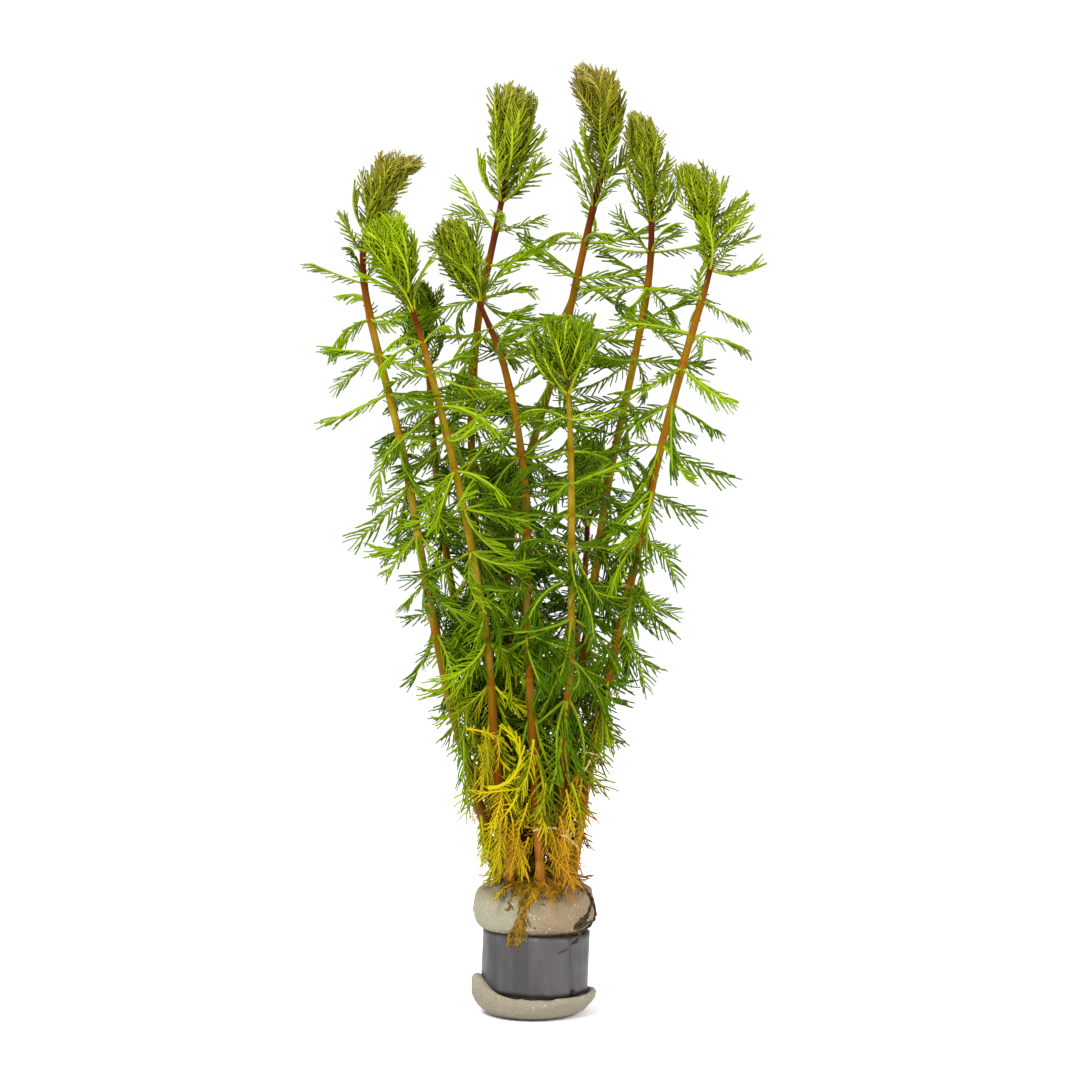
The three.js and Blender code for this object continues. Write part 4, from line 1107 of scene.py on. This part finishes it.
class CollarSettings(bpy.types.PropertyGroup):
    """Sizes of the foam collar and the weight band."""

    upper_bulge: length("Upper bulge", "Radius of the foam above the band", 13.8)
    lower_bulge: length("Lower bulge", "Radius of the foam below the band", 13.8)
    waist: length("Waist", "Radius of the foam under the band", 10.9)
    height: length("Height", "Height of the foam", 30.0)
    band_radius: length("Band radius", "Inner radius of the weight band", 11.2)
    band_height: length("Band width", "Width of the metal strip", 13.5)
    band_thickness: length("Band thickness", "Thickness of the metal strip", 0.6)


class ColourSettings(bpy.types.PropertyGroup):
    """Colours of the leaves, stems, foam and metal."""

    __annotations__ = {key: colour(key, *row) for key, row in COLOURS.items()}


class StageSettings(bpy.types.PropertyGroup):
    """Camera and light."""

    camera_distance: length("Camera distance", "From the camera to the bunch's axis", 550.0)
    camera_height: length("Camera height", "Height of the level camera", 108.6)
    camera_side: length("Camera side", "How far the camera stands to the right", 1.15)
    frame_width: length("Frame width", "Width that the picture takes in at the bunch", 248.4)
    light: bpy.props.FloatProperty(name="Light", description="Strength of the soft lamps", default=1.0)


# Leaves


def leaf_patterns(material, seed):
    """A collection of leaf patterns, in the order of LEAF_PATTERNS."""
    patterns = bpy.data.collections.new("leaf patterns")
    bpy.context.scene.collection.children.link(patterns)
    tree = leaf_tree()
    for order, (name, size, pairs, leaflet, angle, thread, bend, lean, dip) in enumerate(LEAF_PATTERNS):
        mesh = grown(tree, bpy.data.meshes.new("seedling"), {
            "Length": size * MM, "Pairs": pairs, "Leaflet length": leaflet * MM,
            "Leaflet angle": math.radians(angle), "Thread": thread * MM, "Bend": math.radians(bend),
            "Lean": math.radians(lean), "Dip": dip, "Seed": seed + order, "Material": material})
        patterns.objects.link(bpy.data.objects.new(f"pattern_{order:02d}_{name}", mesh))
    return patterns


def ring_count(stem, whorl):
    """How many leaves a whorl has, with those inside the crown or of side shoots, and how many are dead."""
    height, young = whorl.place.z, crown_age(stem, whorl.from_tip)
    shoots = (1 - smoothstep(*SHOOTS_END, height)) * smoothstep(*SHOOTS_START, whorl.from_tip)
    shoots *= blend(LOW_SHOOTS, 1, smoothstep(*SHOOTS_THIN_OUT, height))
    shoots *= blend(1, OUTER_SHOOTS, smoothstep(*SHOOTS_OUTSIDE, abs(whorl.place.x)))
    undergrown = height < DEAD_SHOOTS_BELOW and whorl.place.y > DEAD_SHOOTS_BEHIND
    dead = DEAD_SHOOT_LEAVES if undergrown else 0
    inner = INNER_LEAVES if young < OPEN_GROWTH else 0
    return LEAVES_ROUND + round(SHOOT_LEAVES * shoots) + inner + dead, dead


def leaf_points(stem, number, sizes):
    """Where each leaf of a stem starts, and what it is like."""
    rows = []
    for whorl in whorls(stem, number):
        height, young = whorl.place.z, crown_age(stem, whorl.from_tip)
        bared = blend(BARED_FOOT, BARED_FRONT, smoothstep(*BARED_ABOVE_FOOT, height))
        bared *= 1 - smoothstep(*BARED_BELOW, height)
        count, dead = ring_count(stem, whorl)
        for k in range(count):
            angle = whorl.turn + (k + 0.5 + RING_SHIFT * (k // LEAVES_ROUND)) / LEAVES_ROUND * math.tau
            outward = whorl.side * math.cos(angle) + whorl.back * math.sin(angle)
            across = whorl.back * math.cos(angle) - whorl.side * math.sin(angle)
            in_front = smoothstep(*FACES_FRONT, -outward.y) * (whorl.place.y < FRONT_STEMS)
            lost = scatter(whorl.seed, k + CHANNELS["missing"]) <= MISSING_LEAVES + bared * in_front
            if young >= OPEN_GROWTH and lost:
                continue
            row, middle, end = leaf_row(stem, whorl, k, outward, across, sizes)
            is_dead = k >= count - dead
            reach = DEAD_LEAF_REACH if is_dead else -EDGE_SLACK
            if in_hollow(middle) or in_hollow(end) or not within_edges(end, reach):
                continue
            if is_dead:
                row["dead"], row["gold"] = 1.0, DEAD_SHOOT_GOLD
            rows.append(row)
    return rows


def in_hollow(place):
    off = math.hypot(place.x - HOLLOW["x"], place.z - HOLLOW["z"])
    return place.y < HOLLOW["front"] and off < HOLLOW["radius"]


def within_edges(tip, reach=0):
    for low, high in zip(FOLIAGE_EDGES, FOLIAGE_EDGES[1:]):
        if tip.z <= high[0]:
            break
    share = min(max((tip.z - low[0]) / (high[0] - low[0]), 0), 1)
    return blend(low[1], high[1], share) + reach <= tip.x <= blend(low[2], high[2], share) - reach


def leaf_jitter(stem, whorl, chance, outward):
    """A leaf's own departure from the rule, and how far the right side of a loose crown stands open."""
    young = crown_age(stem, whorl.from_tip)
    jitter = blend(CROWN_JITTER, OPEN_JITTER, smoothstep(*LEAVES_LOOSEN, young))
    jitter *= 1 - HANGING_STILLNESS * hanging(whorl.place.z)
    looser = stem.loose * max(0, outward.x) * smoothstep(*CROWN_LOOSENS, young)
    return jitter * (chance("jitter") - 0.5) + looser * (1 - smoothstep(*LEAVES_LEVEL, young))


def leaf_row(stem, whorl, k, outward, across, sizes):
    """A leaf's place, directions, pattern, size and look, and the places of its middle and end."""
    s, height = whorl.from_tip, whorl.place.z
    young = crown_age(stem, s)

    def chance(channel):
        return scatter(whorl.seed, k + CHANNELS[channel])

    def directed(angle):
        return whorl.along * math.cos(angle) + outward * math.sin(angle)

    level = height + LEVEL_SPREAD * (chance("level") - 0.5)
    folded = FOLDED_LEAVES * (smoothstep(*LEAVES_FOLD, young) - LOW_UNFOLDED * smoothstep(*FOLDING_ENDS, s))
    if level < LOOSE_BELOW:
        kinds = LOOSE
    elif young < CROWN_END:
        kinds = YOUNG if young < YOUNG_END else CROWN
    else:
        kinds = FOLDED if chance("folded") < folded + LEAST_FOLDED else FULL
    pattern = kinds[0] + int(chance("pattern") * kinds[1])
    natural, bend = LEAF_PATTERNS[pattern][1], LEAF_PATTERNS[pattern][6]

    spread = leaf_spread(stem, s, height, chance("limp") < LIMP_LEAVES)
    jitter = leaf_jitter(stem, whorl, chance, outward)
    chord = math.radians(spread + jitter + leaf_droop(stem, s, height) / 2)
    long = leaf_length(stem, s, height, sizes) * (SHORTEST_SHARE + LENGTH_SPREAD * chance("length"))
    root = whorl.place + outward * stem_radius(s) * LEAF_ROOT_DEPTH
    reach = directed(chord)
    lowest = math.radians(blend(LOW_HANG, HIGH_HANG, smoothstep(*HANG_EASES, height)))
    while chord < lowest and not within_edges(root + reach * long, LEAFLET_REACH * abs(reach.z)):
        chord += HANG_STEP
        reach = directed(chord)
    if root.z + long * reach.z < FOAM_TOP:
        long = min(long, max(SHORTEST_LEAF, (FOAM_TOP - root.z) / reach.z))
    while long > SHORTEST_LEAF and not within_edges(root + reach * long, LEAFLET_REACH * abs(reach.z)):
        long -= TRIM_STEP

    heading = directed(chord - math.radians(bend / 2))
    turned = chance("twist") - 0.5
    twist = (OPEN_TWIST * turned + math.copysign(LEAST_OPEN_TWIST, turned)) * smoothstep(*LEAVES_TWIST, s)
    roll = math.radians(twist + CROWN_TWIST * turned)
    shaded = (1 - smoothstep(*SHADE_INSIDE, abs(root.x))) * (1 - smoothstep(*SHADE_ENDS, height))
    tint = TINT_SPREAD * chance("tint") + FRESH_TINT * stem.fresh + LEAST_TINT - SHADED_TINT * shaded
    dying = 1 - smoothstep(*LEAVES_DIE, level - stem.spent)
    yellowing = YELLOWING * (1 - smoothstep(*LEAVES_YELLOW, level - stem.spent))
    row = {
        "place": root * MM, "heading": heading,
        "upper": heading.cross(across) * math.cos(roll) + across * math.sin(roll), "pattern": pattern,
        "size": long / natural, "from_tip": young, "tint": min(max(tint, 0), 1), "brown": stem.brown,
        "fresh": stem.fresh, "dead": max(dying * (0.5 + 0.5 * chance("dead")), yellowing),
        "gold": smoothstep(*GOLD_FROM_LEFT, root.x + GOLD_SPREAD * (chance("gold") - 0.5))}
    return row, root + reach * long / 2, root + reach * long


def placed_rows(stem):
    """The leaves set one by one on this stem."""
    rows = []
    for kind, place, heading, upper, long, dead, gold in PLACED_LEAVES.get(stem.name, ()):
        pattern = PATTERN_ORDER[kind]
        rows.append({
            "place": Vector(place) * MM, "heading": Vector(heading).normalized(), "upper": Vector(upper),
            "pattern": pattern, "size": long / LEAF_PATTERNS[pattern][1], "dead": dead, "gold": gold,
            **PLACED_LOOK})
    return rows


def litter_rows():
    """The dead leaves on the foam, each turned at random away from the middle."""
    rows = []
    for i, (bearing, radius) in enumerate(LITTER):
        height = drawn(*LITTER_HEIGHT, i, 301) - LITTER_SINK * smoothstep(*LITTER_SINKS_FROM, radius)
        place = polar(bearing, radius, height)
        away = math.radians(bearing + LITTER_TURN * (scatter(i, 302) - 0.5))
        heading = Vector((math.cos(away), math.sin(away), drawn(*LITTER_SLOPE, i, 303))).normalized()
        pattern = LOOSE[0] + int(scatter(i, 304) * LOOSE[1])
        room = (LITTER_EDGE - abs(place.x)) / max(abs(heading.x), 0.2)
        long = min(drawn(*LITTER_LENGTH, i, 305), room)
        gold = LITTER_LEAST_GOLD + (1 - LITTER_LEAST_GOLD) * smoothstep(*LITTER_GOLD_FROM_LEFT, place.x)
        rows.append({
            "place": place * MM, "heading": heading, "upper": Vector((0, 0, 1)), "pattern": pattern,
            "size": long / LEAF_PATTERNS[pattern][1], "dead": drawn(*LITTER_DEAD, i, 306), "gold": gold,
            **PLACED_LOOK})
    return rows


class MILFOIL_OT_leaves(bpy.types.Operator):
    """Grow every stem's whorls of feather leaves"""

    bl_idname = "milfoil.leaves"
    bl_label = "Leaves"

    def execute(self, context):
        settings = context.scene.milfoil_foliage
        material = leaf_material(context.scene.milfoil_colours)
        patterns = leaf_patterns(material, settings.seed)
        tree = whorl_tree()
        for number, stem in enumerate(STEMS):
            rows = leaf_points(stem, number, settings) + placed_rows(stem)
            if stem.name == LITTER_STEM:
                rows += litter_rows()
            mesh = grown(tree, plan(rows), {"Patterns": patterns, "Material": material})
            piece(f"leaves_{stem.name}", mesh, f"stem_{stem.name}")
        for pattern in list(patterns.objects):
            bpy.data.objects.remove(pattern)
        bpy.data.collections.remove(patterns)
        return {"FINISHED"}


# Stems


def stem_plan(stem, number, step):
    """The points of a stem from inside the collar to its tip, with what its skin needs."""
    line = Line(stem.line)
    length = line.length - CROWN_OVERREACH
    nodes = [whorl.from_tip for whorl in whorls(stem, number)]
    first = line.at(0)
    foot = Vector((first.x * STEM_FOOT_GATHER, first.y * STEM_FOOT_GATHER, STEM_FOOT_HEIGHT))
    stations = [(foot, length + STEM_FOOT_RUN)]
    run = 0.0
    while run < length:
        stations.append((line.at(run), length - run))
        run += step
    stations.append((line.at(length), 0.0))
    rows = []
    for place, s in stations:
        above = max((n for n in nodes if n <= s), default=0.0)
        below = min((n for n in nodes if n > s), default=s + LAST_NODE_GAP)
        near = min(abs(s - above), abs(s - below))
        swell = NODE_SWELL * smoothstep(*NODES_SWELL, place.z) * math.exp(-(near / NODE_HALF_HEIGHT) ** 2)
        radius = stem_radius(s) + (swell if s > NODES_SWELL_BELOW_TIP else 0.0)
        rows.append({
            "place": place * MM, "thickness": radius * (TIP_SHARE if s == 0 else 1) * MM,
            "node_gap": (s - above) / max(below - above, 1e-6), "run": length - s, "age": s / stem.red,
            "foot": 1 - smoothstep(*STEM_FOOT_ENDS, place.z), "low": 1 - smoothstep(*STEM_LOW_ENDS, place.z),
            "olive": stem.olive})
    return plan(rows, joined=True)


class MILFOIL_OT_stems(bpy.types.Operator):
    """Grow the stems along their lines"""

    bl_idname = "milfoil.stems"
    bl_label = "Stems"

    def execute(self, context):
        step = context.scene.milfoil_foliage.stem_step / MM
        material = stalk_material(context.scene.milfoil_colours)
        tree = stalk_tree()
        values = {"Sides": STEM_SIDES, "Roughness": STEM_ROUGHNESS, "Material": material}
        for number, stem in enumerate(STEMS):
            mesh = grown(tree, stem_plan(stem, number, step), values)
            piece(f"stalk_{stem.name}", mesh, f"stem_{stem.name}")
        return {"FINISHED"}


# Foam collar and weight band


def collar_outline(angle, sizes):
    """Radius and height pairs from the bottom's middle, over both bulges, to the middle of the top."""
    left = max(0.0, -math.cos(angle - UPTURNED_ANGLE)) ** UPTURNED_SHARPNESS
    right = max(0.0, math.cos(angle - FULLER_ANGLE)) ** FULLER_SHARPNESS
    up, low, waist, high = (x / MM for x in (sizes.upper_bulge, sizes.lower_bulge, sizes.waist, sizes.height))
    lift = UPTURNED_LIFT * left
    return [
        (0.5, 0), (5, 0), (8.8, 0.02), (11.3 + 0.2 * right, 0.6 + 0.4 * right), (12.9, 1.9 + 0.7 * right),
        (low + 0.1 * left, 3.5 + 0.6 * right + 0.6 * left),
        (low + 0.1 + 0.3 * left, 4.4 + 0.1 * right + lift * 0.42), (low - 0.4 + 0.6 * left, 5.2 + lift * 0.78),
        (13.0 + 0.3 * left, 5.3 + lift), (12.5, 5.0 + lift * 1.02),
        (12.1 - 0.2 * left, 4.3 + lift * 0.8), (waist + 0.2, 4.2), (waist, 8),
        (waist, 17), (waist + 0.3, 19.0), (12.4, 19.9), (up - 0.3, 21.3), (up + 0.1, 23.8), (up - 0.3, 26.6),
        (12.3, 28.9), (9.8, high), (6, high + 0.2), (0.5, high + 0.1)]


def collar_column(angle, sizes):
    """The skin of the foam at this angle, from its bottom to its top, with its lap and lumps."""
    line = Line([(r, 0, z) for r, z in collar_outline(angle, sizes)])
    column = []
    for j in range(COLLAR_ROWS):
        p = line.at(line.length * j / (COLLAR_ROWS - 1))
        on_skin = Vector((math.cos(angle) * p.x, math.sin(angle) * p.x, p.z))
        broad, lumps, fine = (noise.noise(on_skin * scale + FOAM_LUMPS_AT) for scale in FOAM_LUMPS)
        open_side = smoothstep(12.2, 13.2, p.x) if p.z < 12 else smoothstep(11.5, 13, p.x)
        lap = COLLAR_LAP * (1 - ((angle - COLLAR_LAP_ANGLE) % math.tau) / math.tau) * open_side
        rough = sum(deep * lump for deep, lump in zip(FOAM_LUMP_DEPTHS, (broad, lumps, fine)))
        rough *= smoothstep(3, 11.5, p.x)
        rough *= 0.25 + 0.75 * open_side
        radius = p.x + rough + lap - FOAM_INSET
        height = p.z + (0.5 * fine + 0.7 * lumps if p.z > 27 else 0.45 * lumps * open_side)
        column.append((math.cos(angle) * radius * MM, math.sin(angle) * radius * MM, max(height, 0) * MM))
    return column


class MILFOIL_OT_collar(bpy.types.Operator):
    """Shape the foam collar that is rolled round the stems"""

    bl_idname = "milfoil.collar"
    bl_label = "Foam collar"

    def execute(self, context):
        angles = [i / COLLAR_COLUMNS * math.tau for i in range(COLLAR_COLUMNS)]
        rows = list(zip(*(collar_column(angle, context.scene.milfoil_collar) for angle in angles)))
        material = foam_material(context.scene.milfoil_colours)
        made = piece("collar_foam", surface_mesh("collar", rows), "foam_collar", material)
        return {"FINISHED"}


def band_mesh(sizes):
    """The strip wound a little more than once round the collar's waist, pressed and slightly creased."""
    inner, tall, thick = (x / MM for x in (sizes.band_radius, sizes.band_height, sizes.band_thickness))
    lean = Matrix.Rotation(BAND_TILT, 3, "Y")
    sweep = math.tau + BAND_LAP_ANGLE
    section = [(thick, i / (BAND_OUTER_ROWS - 1)) for i in range(BAND_OUTER_ROWS)]
    section += [(0.0, 1 - i / (BAND_INNER_ROWS - 1)) for i in range(BAND_INNER_ROWS)]
    rows, edge = [], []
    for step in range(BAND_STEPS + 1):
        turned = step / BAND_STEPS * sweep
        angle = BAND_START_ANGLE + turned
        row = []
        for depth, high in section:
            rise = high * 0.35 + (turned > math.tau) * 3
            around = Vector((math.cos(angle) * 1.7, math.sin(angle) * 1.7, rise))
            press = sum(deep * noise.noise(around * scale) for deep, scale in BAND_DENTS)
            fray = sum(deep * noise.noise(Vector((angle * a, high * b, c))) for deep, a, b, c in BAND_FRAYS)
            end = BAND_END_DROP * smoothstep(0.25, 0.0, sweep - turned) * (high - 0.5)
            radius = inner + depth + BAND_PITCH * turned / math.tau + press
            height = tall * high + fray - end
            place = lean @ Vector((radius * math.cos(angle), radius * math.sin(angle), height))
            row.append((place.x * MM, place.y * MM, (place.z + BAND_BOTTOM) * MM))
            edge.append(max(0.0, 1 - BAND_EDGE_SHARPNESS * min(high, 1 - high)))
        rows.append(row)
    mesh = surface_mesh("band", rows)
    layer = mesh.attributes.new("edge", "FLOAT", "POINT")
    layer.data.foreach_set("value", edge + [1.0] * (len(mesh.vertices) - len(edge)))
    return mesh


class MILFOIL_OT_band(bpy.types.Operator):
    """Wind the metal weight band round the collar"""

    bl_idname = "milfoil.band"
    bl_label = "Weight band"

    def execute(self, context):
        material = band_material(context.scene.milfoil_colours)
        mesh = band_mesh(context.scene.milfoil_collar)
        piece("band_metal", mesh, "weight_band", material)
        return {"FINISHED"}


# Dead scraps


def laid(*point):
    """The place of a bearing and height on the outside of the collar or band, or at its own distance."""
    if len(point) == 3:
        return polar(point[0], point[2], point[1])
    outside = polar(point[0], OUTSIDE_COLLAR, point[1])
    aim = polar(point[0], -1, 0)
    hits = [bpy.data.objects[name].ray_cast(outside * MM, aim) for name in ("collar_foam", "band_metal")]
    reach = max(Vector(spot[:2]).length for hit, spot, _, _ in hits if hit) / MM
    return polar(point[0], reach + THREAD_LIFT, point[1])


def thread_plan(radius, points, seed):
    """A limp thread through these points, thinner towards its end and ragged all along."""
    line = Line([laid(*p) for p in points])
    count = max(6, int(line.length / THREAD_STEP))
    rows = []
    for i in range(count + 1):
        share = i / count
        jitter = Vector([scatter(seed, i + channel) - 0.5 for channel in (0, 50, 90)]) * THREAD_RAGGED
        thickness = radius * (1 - THREAD_TAPER * share ** 2) * drawn(*THREAD_WAVER, seed, i + 130)
        rows.append({"place": (line.at(share * line.length) + jitter) * MM, "thickness": thickness * MM,
                     "run": share * line.length})
    return plan(rows, joined=True)


def scrap_plans():
    """Threads of a dead leaf that clings to the foam: its ribs, their drooping leaflets and loose bits."""
    plans = []
    for r, (radius, pairs, points) in enumerate(SCRAP_RIBS):
        plans.append(thread_plan(radius, points, 40 + r))
        for i in range(pairs * 2):
            share = (i // 2 + 0.5) / pairs * (len(points) - 2) + 1
            n = min(int(share), len(points) - 2)
            bearing, height = (blend(points[n][c], points[n + 1][c], share - n) for c in (0, 1))
            wide = (1 if i % 2 else -1) * drawn(*SCRAP_LEAFLET_WIDTH, i, 60 + r)
            drop = drawn(*SCRAP_LEAFLET_DROP, i, 70 + r)
            middle = bearing + wide * 0.6, height - drop * 0.4
            ends = ((bearing, height), middle, (bearing + wide, height - drop))
            plans.append(thread_plan(drawn(*SCRAP_LEAFLET_RADIUS, i, 80 + r), ends, 90 + 20 * r + i))
    for i in range(LOOSE_BITS):
        bearing, height = drawn(*LOOSE_BIT_BEARING, i, 402), drawn(*LOOSE_BIT_HEIGHT, i, 403)
        ends = [(bearing + 5 * (scatter(i, 410 + j) - 0.5) * j, height - 0.7 * j * scatter(i, 420 + j))
                for j in range(3)]
        plans.append(thread_plan(drawn(*LOOSE_BIT_RADIUS, i, 404), ends, 500 + i))
    return plans


def threads_mesh(plans, sides, roughness, material):
    """One mesh out of threads grown on these plans."""
    tree = stalk_tree()
    values = {"Sides": sides, "Roughness": roughness, "Material": material}
    objects = [bpy.data.objects.new("thread", grown(tree, points, values)) for points in plans]
    for o in objects:
        bpy.context.scene.collection.objects.link(o)
    with bpy.context.temp_override(
            active_object=objects[0], selected_editable_objects=objects, object=objects[0]):
        bpy.ops.object.join()
    mesh = objects[0].data
    bpy.data.objects.remove(objects[0])
    return mesh


class MILFOIL_OT_debris(bpy.types.Operator):
    """Lay the dead leaf scrap and the dark decayed threads over the collar"""

    bl_idname = "milfoil.debris"
    bl_label = "Dead scraps"

    def execute(self, context):
        colours = context.scene.milfoil_colours
        dark = decay_material("black decay", colours.decay, colours.scrap_brown, 0.45)
        plans = [thread_plan(radius, points, seed) for seed, (radius, points) in enumerate(DARK_THREADS)]
        piece("threads_dark", threads_mesh(plans, 7, 0.0003, dark), "dark_strand", dark)
        gold = decay_material("dead leaf", colours.scrap_gold, colours.scrap_brown, 0.5)
        piece("scrap_leaf", threads_mesh(scrap_plans(), 6, 0.0002, gold), "dead_leaf_scrap", gold)
        return {"FINISHED"}


# Stage and panel


def area_light(name, energy, size, place, target):
    lamp = bpy.data.lights.new(name, "AREA")
    lamp.energy, lamp.size = energy, size
    lit = bpy.data.objects.new(name, lamp)
    lit.location = place
    lit.rotation_euler = (Vector(target) - Vector(place)).to_track_quat("-Z", "Y").to_euler()
    bpy.context.scene.collection.objects.link(lit)


class MILFOIL_OT_stage(bpy.types.Operator):
    """Set the pale floor, the soft studio light and the camera"""

    bl_idname = "milfoil.stage"
    bl_label = "Stage"

    def execute(self, context):
        scene, settings = context.scene, context.scene.milfoil_stage
        rim = [polar(360 * i / FLOOR_SIDES, FLOOR_RADIUS, 0) for i in range(FLOOR_SIDES)]
        mesh = bpy.data.meshes.new("floor")
        mesh.from_pydata([tuple(p) for p in rim], [], [tuple(range(FLOOR_SIDES))])
        mesh.materials.append(floor_material(scene.milfoil_colours.floor))
        floor = bpy.data.objects.new("floor", mesh)
        scene.collection.objects.link(floor)
        world = bpy.data.worlds.new("soft room")
        world.use_nodes = True
        background = world.node_tree.nodes["Background"].inputs
        background["Color"].default_value = (1, 1, 1, 1)
        background["Strength"].default_value = WORLD_STRENGTH
        scene.world = world
        for name, energy, size, place in LAMPS:
            area_light(name, energy * settings.light, size, place, BUNCH_MIDDLE)
        data = bpy.data.cameras.new("camera")
        data.sensor_width = SENSOR_WIDTH
        data.lens = SENSOR_WIDTH * settings.camera_distance / settings.frame_width
        data.clip_start, data.clip_end = 0.01, 20
        camera = bpy.data.objects.new("camera", data)
        camera.location = (settings.camera_side, -settings.camera_distance, settings.camera_height)
        camera.rotation_euler = (math.pi / 2, 0, 0)
        scene.collection.objects.link(camera)
        scene.camera = camera
        scene.view_settings.view_transform = "Standard"
        return {"FINISHED"}


class MILFOIL_PT_panel(bpy.types.Panel):
    """Lists what the bunch is made of"""

    bl_label = "Red milfoil bunch"
    bl_idname = "MILFOIL_PT_panel"
    bl_space_type = "VIEW_3D"
    bl_region_type = "UI"
    bl_category = "Milfoil"

    def draw(self, context):
        for name in SETTINGS:
            box = self.layout.box()
            group = getattr(context.scene, name)
            for key in group.bl_rna.properties.keys():
                if key not in ("name", "rna_type"):
                    box.prop(group, key)
        for operator in OPERATORS:
            self.layout.operator(operator.bl_idname)


SETTINGS = {"milfoil_foliage": FoliageSettings, "milfoil_collar": CollarSettings,
            "milfoil_colours": ColourSettings, "milfoil_stage": StageSettings}
OPERATORS = (MILFOIL_OT_stage, MILFOIL_OT_collar, MILFOIL_OT_band, MILFOIL_OT_stems, MILFOIL_OT_leaves,
             MILFOIL_OT_debris)


def register():
    for kind in (*SETTINGS.values(), *OPERATORS, MILFOIL_PT_panel):
        bpy.utils.register_class(kind)
    for name, kind in SETTINGS.items():
        setattr(bpy.types.Scene, name, bpy.props.PointerProperty(type=kind))


def unregister():
    for name in SETTINGS:
        delattr(bpy.types.Scene, name)
    for kind in (MILFOIL_PT_panel, *reversed(OPERATORS), *SETTINGS.values()):
        bpy.utils.unregister_class(kind)


def main():
    register()
    bpy.ops.milfoil.stage()
    bpy.ops.milfoil.collar()
    bpy.ops.milfoil.band()
    bpy.ops.milfoil.stems()
    bpy.ops.milfoil.leaves()
    bpy.ops.milfoil.debris()


if __name__ == "__main__":
    main()
